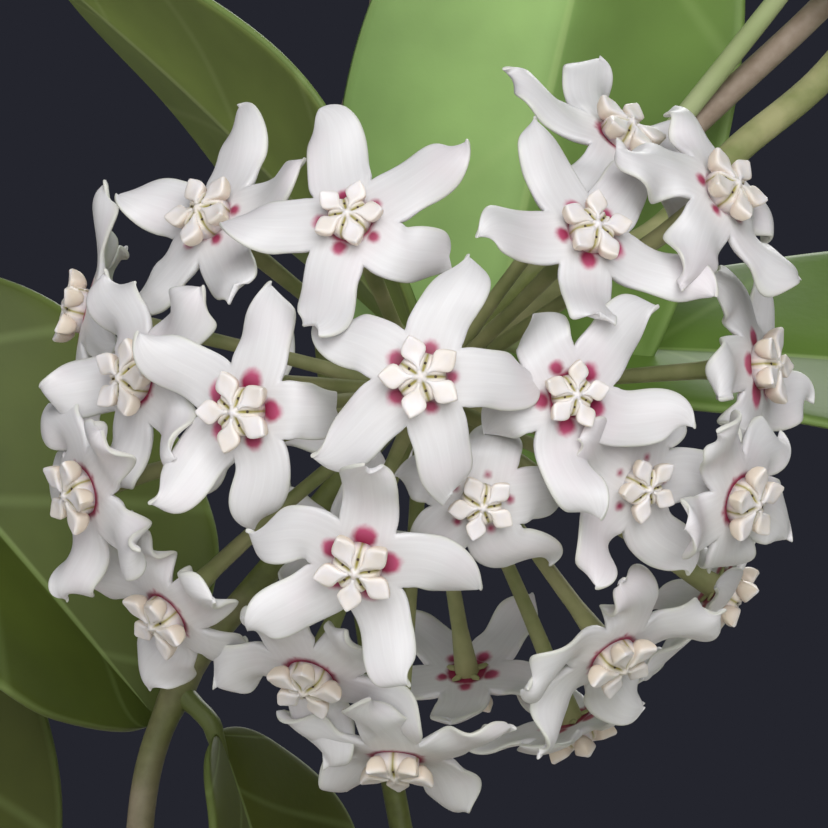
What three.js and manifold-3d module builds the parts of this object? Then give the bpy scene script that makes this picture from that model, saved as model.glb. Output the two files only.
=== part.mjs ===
// A potted hoya in flower: one round head of waxy white stars with cream crowns, held out in front of
// leafy vines that stand in a plain clay pot.
// Millimetres, +Z up. The origin is the centre of the pot's underside, and the front is towards -Y.

import * as THREE from "three";
import { mergeVertices } from "three/addons/utils/BufferGeometryUtils.js";
import Module from "manifold-3d";

const wasm = await Module();
wasm.setup();

// ---- Driving dimensions ----

const GAP = 0.3; // between pieces that rest on each other

// The pot: a tapered body, a thicker rim band, and holes in its floor to let water out.
const POT_HEIGHT = 116;
const RIM_HEIGHT = 22;
const RIM_RADIUS = 68;
const BODY_RADIUS = 63; // just under the rim band
const MOUTH_RADIUS = 61.5; // inside the rim
const FOOT_RADIUS = 46;
const POT_WALL = 5;
const POT_FLOOR = 6;
const POT_SEGMENTS = 28;
const EDGE_ROUND = 1.5;
const DRAIN_HOLES = 4;
const DRAIN_RADIUS = 5;
const DRAIN_CIRCLE = 24;
const DRAIN_SEGMENTS = 12;

// The soil fills the pot to a little under the rim, and stems stand in plain holes in it.
const SOIL_TOP = 100;
const SOIL_MOUND = 3;
const SOIL_RINGS = [44, 24, 0];
const SOIL_RIPPLE = 0.9;
const RIPPLE_ACROSS = 5;
const RIPPLE_DEEP = 6;
const ROOT_DEPTH = 16;
const ROOT_SEGMENTS = 10;

// The view that the flower places below are given in, as pixels of a square picture.
const VIEW_CENTRE = 414;
const MM_PER_PIXEL = 0.1; // at the hub of the flower head
const VIEW_DISTANCE = 400;
const VIEW_HEIGHT = 214;
const HUB_Y = -58;

// The flower head: every flower stands on its own stalk from one hub.
const HUB_PIXEL = [425, 395];
const HUB_RADIUS = 3.4;
const BALL_RADIUS = 35; // from the hub to the face of the lowest flowers
const LEVEL_STEP = 1.7; // neighbours stand at different levels, so that their petals pass each other
const CROWN_HEIGHT = 1.6; // the middle of a crown over its flower's face

// One flower: five petals joined for a little under half of their length.
const PETALS = 5;
const PETAL_LENGTH = 12.4;
const NOTCH_RADIUS = 4.9;
const INNER_RADIUS = 2.9;
const PETAL_THICKNESS = 0.85;
const PETAL_ARCH = 0.35; // how far the sides of a petal lie under its middle
const PETAL_CURL = 1.4; // how far its tip bends back, give or take CURL_SPREAD
const CURL_SPREAD = 1;
const PETAL_SWEEP = 1.1; // how far its tip may stand to one side
const PETAL_ROWS = [0.45, 0.8];
const HALF_SECTOR = Math.PI / PETALS;
const NOTCH_ALONG = NOTCH_RADIUS * Math.cos(HALF_SECTOR);
const NOTCH_ACROSS = NOTCH_RADIUS * Math.sin(HALF_SECTOR);

// The crown: five plump pointed lobes round a short column, set over the joins of the petals.
const LOBE_LENGTH = 3.9;
const LOBE_WIDTH = 2.6;
const LOBE_HEIGHT = 1.9;
const LOBE_OUT = 2.35; // the middle of a lobe from the flower's axis
const LOBE_UP = 1.75;
const LOBE_RISE = 0.3; // radians that the outer end lifts
const COLUMN_RADIUS = 1.35;
const COLUMN_SHOULDER = 2.1;
const COLUMN_HEIGHT = 2.7;

// Stems and leaves.
const STALK_RADIUS = 0.85;
const CALYX_RADIUS = 1.3;
const STALK_BEND = 1.6;
const PEDUNCLE_RADIUS = 1.6;
const VINE_RADIUS = 1.8;
const PETIOLE_RADIUS = 1.35;
const LEAF_THICKNESS = 1.2;
const LEAF_FOLD = 0.25; // rise of a leaf's side over its half width
const LEAF_ROLL = 0.12;
const LEAF_WAVE = 1.1;
const LEAF_ROWS = [0.12, 0.38, 0.64, 0.86];
const LEAF_COLUMNS = [-1, -0.5, 0, 0.5, 1];

// ---- Materials ----

function material(color, roughness) {
  return new THREE.MeshStandardMaterial({ color, roughness, metalness: 0 });
}

const clay = material(0xb5714c, 0.85);
const earth = material(0x3b2d22, 0.95);
const petalWax = material(0xe9e7e6, 0.4);
const crownWax = material(0xefe3d3, 0.35);
const stalkGreen = material(0x8e9a66, 0.6);
const leafGreen = material(0x5c7c3c, 0.5);

// ---- Solids ----

const root = new THREE.Group();

function solidOf(geometry) {
  const bare = new THREE.BufferGeometry();
  bare.setAttribute("position", geometry.getAttribute("position").clone());
  bare.setIndex(geometry.index);
  const merged = mergeVertices(bare, 1e-4);
  const vertProperties = merged.attributes.position.array;
  const triVerts = new Uint32Array(merged.index.array);
  return new wasm.Manifold(new wasm.Mesh({ numProp: 3, vertProperties, triVerts }));
}

function geometryOf(solid) {
  const mesh = solid.getMesh();
  const geometry = new THREE.BufferGeometry();
  geometry.setAttribute("position", new THREE.BufferAttribute(mesh.vertProperties, 3));
  geometry.setIndex(new THREE.BufferAttribute(mesh.triVerts, 1));
  geometry.computeVertexNormals();
  return geometry;
}

function joined(solids) {
  return solids.reduce((whole, next) => whole.add(next));
}

function addMesh(name, solid, finish) {
  const mesh = new THREE.Mesh(geometryOf(solid), finish);
  mesh.name = name;
  root.add(mesh);
}

// A closed sheet from the points of its upper and lower faces, which share one list of triangles.
function sheet(upper, lower, triangles) {
  const count = upper.length;
  const faces = [...triangles];
  const edges = new Map();
  for (const [a, b, c] of triangles) {
    faces.push([a + count, c + count, b + count]);
    for (const [from, to] of [[a, b], [b, c], [c, a]]) {
      edges.set(`${from},${to}`, [from, to]);
    }
  }
  for (const [from, to] of edges.values()) {
    if (!edges.has(`${to},${from}`)) {
      faces.push([to, from, from + count], [to, from + count, to + count]);
    }
  }
  const geometry = new THREE.BufferGeometry().setFromPoints([...upper, ...lower]);
  geometry.setIndex(faces.flat());
  return solidOf(geometry);
}

// A round stem along a curve, with its radius given at each point of the way from 0 to 1.
function stem(curve, steps, sides, radiusAt) {
  const frames = curve.computeFrenetFrames(steps, false);
  const points = [];
  const faces = [];
  for (let step = 0; step <= steps; step++) {
    const way = step / steps;
    const centre = curve.getPointAt(way);
    for (let side = 0; side < sides; side++) {
      const angle = (2 * Math.PI * side) / sides;
      const point = centre.clone();
      point.addScaledVector(frames.normals[step], Math.cos(angle) * radiusAt(way));
      point.addScaledVector(frames.binormals[step], Math.sin(angle) * radiusAt(way));
      points.push(point);
    }
  }
  for (let step = 0; step < steps; step++) {
    for (let side = 0; side < sides; side++) {
      const a = step * sides + side;
      const b = step * sides + ((side + 1) % sides);
      faces.push([a, b, b + sides], [a, b + sides, a + sides]);
    }
  }
  const last = steps * sides;
  for (let side = 1; side < sides - 1; side++) {
    faces.push([0, side + 1, side], [last, last + side, last + side + 1]);
  }
  const geometry = new THREE.BufferGeometry().setFromPoints(points);
  geometry.setIndex(faces.flat());
  return solidOf(geometry);
}

function turned(profile, segments) {
  const geometry = new THREE.LatheGeometry(profile, segments);
  geometry.rotateX(Math.PI / 2);
  return geometry;
}

function point2(radius, height) {
  return new THREE.Vector2(radius, height);
}

function uprightCylinder(radius, bottom, top, segments, x, y) {
  const geometry = new THREE.CylinderGeometry(radius, radius, top - bottom, segments);
  geometry.rotateX(Math.PI / 2);
  geometry.translate(x, y, (top + bottom) / 2);
  return solidOf(geometry);
}

// A repeatable number between -1 and 1 for one petal of one flower.
function sway(flower, petal, kind) {
  return Math.sin(12.9 * flower + 7.7 * petal + 4.1 * kind);
}

// ---- The pot ----

// The inside of the wall at a height over the pot's underside.
function wallRadius(height) {
  const foot = FOOT_RADIUS - POT_WALL;
  return foot + ((MOUTH_RADIUS - foot) * (height - POT_FLOOR)) / (POT_HEIGHT - POT_FLOOR);
}

function makePot() {
  const shoulder = POT_HEIGHT - RIM_HEIGHT;
  const profile = [
    point2(0, 0),
    point2(FOOT_RADIUS - EDGE_ROUND, 0),
    point2(FOOT_RADIUS, EDGE_ROUND),
    point2(BODY_RADIUS, shoulder),
    point2(RIM_RADIUS - EDGE_ROUND, shoulder),
    point2(RIM_RADIUS, shoulder + EDGE_ROUND),
    point2(RIM_RADIUS, POT_HEIGHT - EDGE_ROUND),
    point2(RIM_RADIUS - EDGE_ROUND, POT_HEIGHT),
    point2(wallRadius(POT_HEIGHT), POT_HEIGHT),
    point2(wallRadius(POT_FLOOR), POT_FLOOR),
    point2(0, POT_FLOOR),
  ];
  let pot = solidOf(turned(profile, POT_SEGMENTS));
  for (let hole = 0; hole < DRAIN_HOLES; hole++) {
    const angle = (2 * Math.PI * hole) / DRAIN_HOLES;
    const x = DRAIN_CIRCLE * Math.cos(angle);
    const y = DRAIN_CIRCLE * Math.sin(angle);
    pot = pot.subtract(uprightCylinder(DRAIN_RADIUS, -1, POT_FLOOR + 1, DRAIN_SEGMENTS, x, y));
  }
  addMesh("pot", pot, clay);
}

// ---- The soil ----

function makeSoil(roots) {
  const low = POT_FLOOR + GAP;
  const edge = wallRadius(SOIL_TOP) - GAP;
  const mound = SOIL_RINGS.map((radius) => point2(radius, SOIL_TOP + SOIL_MOUND * (1 - radius / edge)));
  const profile = [point2(0, low), point2(wallRadius(low) - GAP, low), point2(edge, SOIL_TOP), ...mound];
  const geometry = turned(profile, POT_SEGMENTS);
  const places = geometry.attributes.position;
  for (let i = 0; i < places.count; i++) {
    const x = places.getX(i);
    const y = places.getY(i);
    const ripple = SOIL_RIPPLE * Math.sin(x / RIPPLE_ACROSS) * Math.cos(y / RIPPLE_DEEP);
    places.setZ(i, places.getZ(i) + (places.getZ(i) > SOIL_TOP ? ripple : 0));
  }
  let soil = solidOf(geometry);
  const bottom = SOIL_TOP - ROOT_DEPTH - 2 * GAP;
  for (const [x, y] of roots) {
    const hole = uprightCylinder(VINE_RADIUS + 2 * GAP, bottom, POT_HEIGHT, ROOT_SEGMENTS, x, y);
    soil = soil.subtract(hole);
  }
  addMesh("soil", soil, earth);
}

// ---- The flower head ----

// A point of the picture that lies `depth` behind the hub.
function seen([px, py], depth) {
  const scale = (MM_PER_PIXEL * (VIEW_DISTANCE + depth)) / VIEW_DISTANCE;
  const x = (px - VIEW_CENTRE) * scale;
  const z = VIEW_HEIGHT - (py - VIEW_CENTRE) * scale;
  return new THREE.Vector3(x, HUB_Y + depth, z);
}

const EYE = new THREE.Vector3(0, HUB_Y - VIEW_DISTANCE, VIEW_HEIGHT);
const HUB = seen(HUB_PIXEL, 0);

// `at` is the middle of the crown and `tip` one petal's tip, both in pixels of the picture.
// `level` is how many steps further out the flower stands, and `behind` puts it on the far side.
const FLOWERS = [
  { at: [200, 210], tip: [235, 107], level: 0 },
  { at: [347, 213], tip: [318, 110], level: 2.5 },
  { at: [421, 377], tip: [459, 253], level: 4 },
  { at: [235, 412], tip: [268, 285], level: 2 },
  { at: [122, 378], tip: [198, 288], level: 1 },
  { at: [58, 305], tip: [97, 183], level: 0 },
  { at: [68, 495], tip: [43, 414], level: 2.5 },
  { at: [155, 625], tip: [213, 604], level: 1 },
  { at: [355, 572], tip: [380, 466], level: 3 },
  { at: [305, 690], tip: [415, 745], level: 0 },
  { at: [483, 508], tip: [553, 501], level: 0 },
  { at: [577, 395], tip: [655, 308], level: 2 },
  { at: [650, 490], tip: [735, 474], level: 0.6 },
  { at: [597, 225], tip: [533, 118], level: 1 },
  { at: [630, 125], tip: [505, 72], level: 0 },
  { at: [735, 185], tip: [800, 278], level: 3.5 },
  { at: [775, 365], tip: [758, 262], level: 0 },
  { at: [755, 505], tip: [729, 440], level: 2.2 },
  { at: [622, 668], tip: [765, 615], level: 0 },
  { at: [470, 690], tip: [420, 650], level: 0.5, behind: true },
  { at: [395, 775], tip: [468, 806], level: 1.5 },
  { at: [735, 600], tip: [765, 650], level: 1, behind: true },
  { at: [580, 740], tip: [540, 700], level: 2, behind: true },
  { at: [421, 385], tip: [465, 290], level: 0.5, behind: true },
  { at: [240, 420], tip: [268, 320], level: 1.5, behind: true },
  { at: [340, 560], tip: [362, 480], level: 0, behind: true },
];

// Where the sight line through a pixel meets a ball round the hub, or passes nearest to it.
function onBall(pixel, radius, behind) {
  const sight = seen(pixel, 0).sub(EYE).normalize();
  const along = HUB.clone().sub(EYE).dot(sight);
  const nearest = EYE.clone().addScaledVector(sight, along);
  const miss = nearest.distanceTo(HUB);
  const half = Math.sqrt(Math.max(radius * radius - miss * miss, 0));
  return nearest.addScaledVector(sight, behind ? half : -half);
}

// Each flower's axis, and two directions square to it, the first one along the petal named by `tip`.
function placedFlower({ at, tip, level, behind }, index) {
  const radius = BALL_RADIUS + level * LEVEL_STEP;
  const axis = onBall(at, radius + CROWN_HEIGHT, behind).sub(HUB).normalize();
  const across = tip[0] - at[0];
  const up = at[1] - tip[1];
  const facing = behind ? Math.max(axis.y, 0.15) : Math.max(-axis.y, 0.15);
  const lean = (across * axis.x + up * axis.z) * (behind ? -1 : 1);
  const first = new THREE.Vector3(across * facing, lean, up * facing);
  first.addScaledVector(axis, -first.dot(axis)).normalize();
  const second = new THREE.Vector3().crossVectors(axis, first);
  return { index, radius, axis, first, second };
}

const flowers = FLOWERS.map(placedFlower);

// A point of a flower: x and y are measured along the ball's surface from the flower's middle.
function onFlower(flower, x, y, height) {
  const reach = Math.hypot(x, y);
  const angle = reach / flower.radius;
  const outward = flower.radius + height;
  const spread = reach > 0 ? (Math.sin(angle) * outward) / reach : 0;
  const point = HUB.clone().addScaledVector(flower.axis, Math.cos(angle) * outward);
  point.addScaledVector(flower.first, x * spread);
  return point.addScaledVector(flower.second, y * spread);
}

// `free` runs from 0 where the petals part to 1 at the tip.
function petalHalfWidth(free) {
  return NOTCH_ACROSS * (1 - free ** 4) ** 0.75 * (1 - 0.13 * Math.min(4 * free, 1));
}

function petalPoint(flower, petal, free, side, below) {
  const sweep = PETAL_SWEEP * sway(flower.index, petal, 1);
  const curl = PETAL_CURL + CURL_SPREAD * sway(flower.index, petal, 2);
  const along = NOTCH_ALONG + free * (PETAL_LENGTH - NOTCH_ALONG);
  const across = side * petalHalfWidth(free) + sweep * free ** 2;
  const turn = (2 * Math.PI * petal) / PETALS;
  const x = along * Math.cos(turn) - across * Math.sin(turn);
  const y = along * Math.sin(turn) + across * Math.cos(turn);
  const arch = PETAL_ARCH * side ** 2 * Math.min(3 * free, 1);
  return onFlower(flower, x, y, -arch - curl * free ** 3 - below);
}

// Each petal adds, in this order: two points of the inner ring, the join and the middle beside it,
// then a left, middle and right point in each row, and its tip.
function corollaFace(flower, below) {
  const points = [onFlower(flower, 0, 0, -below)];
  for (let petal = 0; petal < PETALS; petal++) {
    for (const half of [0, 1]) {
      const turn = (2 * petal + half) * HALF_SECTOR;
      const x = INNER_RADIUS * Math.cos(turn);
      const y = INNER_RADIUS * Math.sin(turn);
      points.push(onFlower(flower, x, y, -below));
    }
    points.push(petalPoint(flower, petal, 0, 1, below));
    points.push(petalPoint(flower, petal, 0, 0, below));
    for (const free of PETAL_ROWS) {
      for (const side of [-1, 0, 1]) {
        points.push(petalPoint(flower, petal, free, side, below));
      }
    }
    points.push(petalPoint(flower, petal, 1, 0, below));
  }
  return points;
}

function corollaTriangles() {
  const perPetal = 5 + 3 * PETAL_ROWS.length;
  const triangles = [];
  for (let petal = 0; petal < PETALS; petal++) {
    const first = 1 + petal * perPetal;
    const before = 1 + ((petal + PETALS - 1) % PETALS) * perPetal;
    const inner = [before + 1, first, first + 1];
    let row = [before + 2, first + 3, first + 2];
    triangles.push([0, inner[0], inner[1]], [0, inner[1], inner[2]]);
    triangles.push([inner[0], row[0], inner[1]], [row[0], row[1], inner[1]]);
    triangles.push([inner[1], row[1], row[2]], [inner[1], row[2], inner[2]]);
    for (let step = 0; step < PETAL_ROWS.length; step++) {
      const start = first + 4 + 3 * step;
      const next = [start, start + 1, start + 2];
      triangles.push([row[0], next[0], row[1]], [next[0], next[1], row[1]]);
      triangles.push([row[1], next[1], next[2]], [row[1], next[2], row[2]]);
      row = next;
    }
    const tip = first + perPetal - 1;
    triangles.push([row[0], tip, row[1]], [row[1], tip, row[2]]);
  }
  return triangles;
}

function makeCorolla(flower, name) {
  const upper = corollaFace(flower, 0);
  const lower = corollaFace(flower, PETAL_THICKNESS);
  addMesh(name, sheet(upper, lower, corollaTriangles()), petalWax);
}

function makeCrown(flower, name) {
  const column = turned(
    [
      point2(0, GAP),
      point2(COLUMN_RADIUS, GAP),
      point2(COLUMN_RADIUS, COLUMN_SHOULDER),
      point2(0, COLUMN_HEIGHT),
    ],
    PETALS,
  );
  const pieces = [solidOf(column)];
  for (let lobe = 0; lobe < PETALS; lobe++) {
    const blunt = turned([point2(0, -0.5), point2(0.5, 0.12), point2(0, 0.5)], 4);
    blunt.rotateY(Math.PI / 2);
    blunt.scale(LOBE_LENGTH, LOBE_WIDTH, LOBE_HEIGHT);
    blunt.rotateY(-LOBE_RISE);
    blunt.translate(LOBE_OUT, 0, LOBE_UP);
    blunt.rotateZ((2 * lobe + 1) * HALF_SECTOR);
    pieces.push(solidOf(blunt));
  }
  const geometry = geometryOf(joined(pieces));
  const base = onFlower(flower, 0, 0, 0);
  const place = new THREE.Matrix4().makeBasis(flower.first, flower.second, flower.axis);
  geometry.applyMatrix4(place.setPosition(base));
  addMesh(name, solidOf(geometry), crownWax);
}

// All the flower stalks, the hub and the thick stalk that carries it, which meets the main vine.
function makeStalks(carrier) {
  const hub = new THREE.IcosahedronGeometry(HUB_RADIUS, 0);
  hub.translate(HUB.x, HUB.y, HUB.z);
  const pieces = [solidOf(hub)];
  for (const flower of flowers) {
    const top = flower.radius - PETAL_THICKNESS - GAP;
    const start = HUB.clone().addScaledVector(flower.axis, HUB_RADIUS * 0.5);
    const end = HUB.clone().addScaledVector(flower.axis, top);
    const middle = HUB.clone().addScaledVector(flower.axis, top * 0.55);
    middle.addScaledVector(flower.second, STALK_BEND * sway(flower.index, 0, 3));
    const curve = new THREE.QuadraticBezierCurve3(start, middle, end);
    pieces.push(stem(curve, 3, 5, (way) => (way > 0.9 ? CALYX_RADIUS : STALK_RADIUS)));
  }
  pieces.push(stem(carrier, 9, 7, () => PEDUNCLE_RADIUS));
  addMesh("umbel_stalks", joined(pieces), stalkGreen);
}

// ---- Vines and leaves ----

function leafOutline(way) {
  return (4 * way * (1 - way)) ** 0.52 * (0.88 + 0.24 * way);
}

// A point of a leaf: `way` from 0 at its base to 1 at its tip, `side` from -1 to 1 across it.
function leafPoint(leaf, way, side, below) {
  const chord = leaf.tip.clone().sub(leaf.base);
  const face = leaf.face.clone().addScaledVector(chord, -leaf.face.dot(chord) / chord.lengthSq());
  face.normalize();
  const control = leaf.base.clone().lerp(leaf.tip, 0.45).addScaledVector(face, leaf.bow);
  const midrib = new THREE.QuadraticBezierCurve3(leaf.base, control, leaf.tip);
  const forward = midrib.getTangent(way);
  const across = new THREE.Vector3().crossVectors(face, forward).normalize();
  const up = new THREE.Vector3().crossVectors(forward, across);
  const half = 0.5 * leaf.width * leafOutline(way);
  const fold = (leaf.fold * Math.abs(side) - LEAF_ROLL * side ** 2) * half;
  const ends = Math.min(8 * way * (1 - way), 1);
  const wave = LEAF_WAVE * Math.abs(side) * Math.sin(9 * way + 2 * side + leaf.width) * ends;
  const point = midrib.getPoint(way).addScaledVector(across, side * half);
  return point.addScaledVector(up, fold + wave - below);
}

function leafFace(leaf, below) {
  const points = [leafPoint(leaf, 0, 0, below)];
  for (const way of LEAF_ROWS) {
    for (const side of LEAF_COLUMNS) {
      points.push(leafPoint(leaf, way, side, below));
    }
  }
  points.push(leafPoint(leaf, 1, 0, below));
  return points;
}

function leafTriangles() {
  const across = LEAF_COLUMNS.length;
  const tip = 1 + across * LEAF_ROWS.length;
  const triangles = [];
  for (let i = 0; i < across - 1; i++) {
    triangles.push([0, 1 + i, 2 + i]);
    triangles.push([tip, tip - across + i + 1, tip - across + i]);
    for (let row = 0; row < LEAF_ROWS.length - 1; row++) {
      const a = 1 + row * across + i;
      const b = a + across;
      triangles.push([a, b, b + 1], [a, b + 1, a + 1]);
    }
  }
  return triangles;
}

function leafSolids(vine, leaf) {
  const upper = leafFace(leaf, LEAF_THICKNESS / -2);
  const lower = leafFace(leaf, LEAF_THICKNESS / 2);
  const blade = sheet(upper, lower, leafTriangles());
  const start = vine.curve.getPoint((leaf.joint + ROOT_POINTS) / (vine.points.length + ROOT_POINTS - 1));
  const inside = leafPoint(leaf, 0.09, 0, 0);
  const middle = leaf.base.clone().addScaledVector(inside.clone().sub(leaf.base), -0.6);
  const petiole = new THREE.CatmullRomCurve3([start, middle, leaf.base, inside]);
  return [blade, stem(petiole, 3, 5, () => PETIOLE_RADIUS)];
}

function v(x, y, z) {
  return new THREE.Vector3(x, y, z);
}

// Each vine stands upright in its hole, and then runs through its points.
const ROOT_POINTS = 3;

function vineCurve({ root: [x, y], points }) {
  return new THREE.CatmullRomCurve3([
    v(x, y, SOIL_TOP - ROOT_DEPTH),
    v(x, y, SOIL_TOP - 5),
    v(x, y, SOIL_TOP + 7),
    ...points,
  ]);
}

// `joint` is the point of its vine that a leaf grows from. Its blade runs from `base` to `tip`, looks
// towards `face`, and arches by `bow`.
function leafOf(joint, base, tip, face, width, bow, fold = LEAF_FOLD) {
  return { joint, base, tip, face, width, bow, fold };
}

const VINES = [
  {
    name: "vine_main",
    root: [-24, -8],
    steps: 20,
    points: [
      seen([130, 828], 52),
      seen([175, 690], 54),
      seen([300, 500], 54),
      seen([470, 332], 54),
      seen([626, 188], 52),
      seen([720, 101], 51),
      seen([828, 0], 50),
      v(62, 2, 278),
      v(60, 12, 296),
      v(44, 18, 306),
      v(30, 20, 305),
    ],
    leaves: [
      leafOf(3, seen([440, 325], 60), seen([80, -60], 84), v(0.7, 0.38, 0.72), 46, 4),
      leafOf(3, seen([560, 350], 64), seen([1150, 400], 62), v(0, -0.5, 0.87), 44, 3),
      leafOf(10, seen([640, -260], 70), seen([465, 500], 74), v(-0.5, -1, 0.1), 54, 4),
      leafOf(9, v(24, 26, 304), v(-52, 44, 322), v(0.1, -0.3, 1), 44, 9),
      leafOf(4, seen([800, -32], 44), v(92, -40, 326), v(-0.3, -0.8, 0.5), 40, 5),
      leafOf(1, seen([215, 735], 52), seen([300, 1120], 60), v(0.85, -0.4, 0.3), 40, 4),
    ],
  },
  {
    name: "vine_left",
    root: [-38, 18],
    steps: 10,
    points: [v(-50, 18, 138), v(-74, 14, 182), v(-92, 8, 222), v(-98, 8, 250)],
    leaves: [
      leafOf(2, seen([-220, 300], 62), seen([155, 722], 62), v(0.52, -0.74, 0.41), 52, 3, 0.53),
      leafOf(1, seen([-190, 470], 82), seen([-50, 1020], 84), v(-0.3, -0.9, 0.2), 40, 3),
      leafOf(1, v(-92, 10, 192), v(-166, 4, 168), v(-0.2, -0.3, 0.9), 44, 8),
      leafOf(3, v(-104, 14, 258), v(-160, 30, 306), v(0.5, -0.4, 0.7), 42, 6),
      leafOf(3, v(-92, 18, 260), v(-50, 52, 316), v(-0.5, -0.6, 0.5), 42, 6),
    ],
  },
  {
    name: "vine_right",
    root: [38, 12],
    steps: 10,
    points: [v(52, 18, 138), v(76, 26, 176), v(98, 28, 212), v(108, 24, 244)],
    leaves: [
      leafOf(1, v(88, 20, 184), v(150, -16, 160), v(0.2, -0.3, 0.9), 44, 8),
      leafOf(1, v(82, 42, 184), v(90, 114, 160), v(0.1, 0.3, 0.9), 44, 8),
      leafOf(2, v(108, 30, 222), v(176, 40, 214), v(0.2, -0.4, 0.9), 44, 8),
      leafOf(3, v(112, 20, 252), v(140, -10, 316), v(-0.5, -0.6, 0.4), 42, 6),
      leafOf(3, v(104, 30, 254), v(78, 70, 310), v(0.4, -0.7, 0.6), 42, 6),
    ],
  },
  {
    name: "vine_back",
    root: [4, 40],
    steps: 10,
    points: [v(2, 58, 138), v(-6, 70, 184), v(-12, 70, 236), v(-4, 62, 268)],
    leaves: [
      leafOf(0, v(-12, 72, 146), v(-72, 104, 122), v(-0.2, 0.3, 0.9), 44, 8),
      leafOf(0, v(6, 76, 146), v(14, 146, 120), v(0, 0.4, 0.9), 44, 8),
      leafOf(2, v(-4, 80, 242), v(22, 146, 250), v(-0.1, 0.3, 0.9), 42, 8),
      leafOf(3, v(2, 66, 277), v(40, 92, 326), v(-0.4, 0.5, 0.7), 42, 6),
      leafOf(3, v(-11, 64, 277), v(-56, 96, 314), v(0.4, 0.5, 0.7), 42, 6),
    ],
  },
  {
    name: "vine_front",
    root: [24, -36],
    steps: 10,
    points: [v(34, -50, 128), v(46, -68, 140), v(56, -88, 132), v(60, -100, 108)],
    leaves: [
      leafOf(1, v(34, -72, 138), v(-24, -104, 124), v(-0.1, -0.5, 0.9), 42, 7),
      leafOf(1, v(58, -62, 144), v(118, -58, 140), v(0.1, -0.3, 0.9), 42, 7),
      leafOf(3, v(54, -106, 100), v(20, -116, 38), v(-0.2, -1, 0.3), 42, 6),
      leafOf(3, v(68, -102, 100), v(106, -96, 52), v(0.4, -0.9, 0.3), 40, 6),
    ],
  },
];

function makeVine(vine) {
  const curve = vineCurve(vine);
  const pieces = [stem(curve, vine.steps, 6, (way) => VINE_RADIUS - 0.4 * way)];
  for (const leaf of vine.leaves) {
    pieces.push(...leafSolids({ ...vine, curve }, leaf));
  }
  addMesh(vine.name, joined(pieces), leafGreen);
}

// The thick stalk of the flower head runs back and up from the hub to the main vine.
function carrierCurve() {
  return new THREE.CatmullRomCurve3([
    HUB.clone(),
    seen([480, 350], 7),
    seen([560, 285], 16),
    seen([660, 230], 26),
    seen([735, 152], 34),
    seen([828, 72], 42),
    v(57.5, -6.5, 268),
  ]);
}

makePot();
makeSoil(VINES.map((vine) => vine.root));
flowers.forEach((flower, index) => {
  const number = String(index + 1).padStart(2, "0");
  makeCorolla(flower, `corolla_${number}`);
  makeCrown(flower, `corona_${number}`);
});
makeStalks(carrierCurve());
VINES.forEach(makeVine);

export default root;
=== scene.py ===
# A potted hoya in flower, dressed from its clay pot up to the waxy stars of its flower head.
# Meshes are made in millimetres and become metres when they are finished. The front is towards -Y.
import random
from math import atan2, copysign, cos, exp, hypot, pi, radians, sin, sqrt, tan, tanh
from types import SimpleNamespace

import bmesh
import bpy
from mathutils import Matrix, Vector, noise


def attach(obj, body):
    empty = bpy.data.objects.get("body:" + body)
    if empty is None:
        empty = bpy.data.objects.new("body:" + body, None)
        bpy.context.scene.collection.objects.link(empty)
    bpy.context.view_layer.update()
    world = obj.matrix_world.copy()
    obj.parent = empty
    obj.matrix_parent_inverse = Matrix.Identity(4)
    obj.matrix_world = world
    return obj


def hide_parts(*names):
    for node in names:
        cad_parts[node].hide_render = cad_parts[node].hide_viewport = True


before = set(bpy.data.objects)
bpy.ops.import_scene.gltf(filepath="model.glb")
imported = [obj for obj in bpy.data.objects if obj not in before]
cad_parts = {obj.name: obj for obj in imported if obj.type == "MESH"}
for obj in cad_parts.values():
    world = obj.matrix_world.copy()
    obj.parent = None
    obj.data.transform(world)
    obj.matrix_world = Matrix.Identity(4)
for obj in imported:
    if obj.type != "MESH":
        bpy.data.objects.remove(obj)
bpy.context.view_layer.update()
scene = bpy.context.scene

# ---- The view ----
# A level camera in front of the flower head, 400 mm from its hub. A pixel of its square picture
# names a place on the plant once its depth behind the hub is given.

MM = 0.001
PICTURE = 828
MM_PER_PIXEL = 0.1  # at the hub of the flower head
VIEW_DISTANCE = 400
VIEW_HEIGHT = 214
HUB_Y = -58
SENSOR = 36
NEAREST = 10
EYE = Vector((0, HUB_Y - VIEW_DISTANCE, VIEW_HEIGHT))

lens = bpy.data.cameras.new("camera")
lens.sensor_width = SENSOR
lens.lens = SENSOR * VIEW_DISTANCE / (PICTURE * MM_PER_PIXEL)
lens.clip_start = NEAREST * MM
camera = bpy.data.objects.new("camera", lens)
camera.location = EYE * MM
camera.rotation_euler = (pi / 2, 0, 0)
scene.collection.objects.link(camera)
scene.camera = camera
scene.view_settings.view_transform = "Standard"


def seen(px, py, depth):
    """The place, in millimetres, that a pixel shows at a depth behind the hub."""
    scale = MM_PER_PIXEL * (VIEW_DISTANCE + depth) / VIEW_DISTANCE
    across = (px - PICTURE / 2) * scale
    down = (py - PICTURE / 2) * scale
    return Vector((across, HUB_Y + depth, VIEW_HEIGHT - down))


# ---- The pot ----
# A small flowerpot of red earthenware, thrown and fired without glaze, with a thick rim band and
# four holes in its floor that let water out.

POT_HEIGHT = 116
RIM_HEIGHT = 22
RIM_RADIUS = 68
BODY_RADIUS = 63
MOUTH_RADIUS = 61.5
FOOT_RADIUS = 46
POT_WALL = 5
POT_FLOOR = 6
POT_STEPS = 96
POT_EDGE = 1.3
POT_CREASE = 40  # degrees from which an edge of the pot is softened
DRAIN_HOLES = 4
DRAIN_RADIUS = 5
DRAIN_CIRCLE = 24
THROWING_RING = 2.6  # mm between the faint rings that the thrower's fingers leave
SAME_POINT = 0.01  # mm within which two points of a mesh are one


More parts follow.
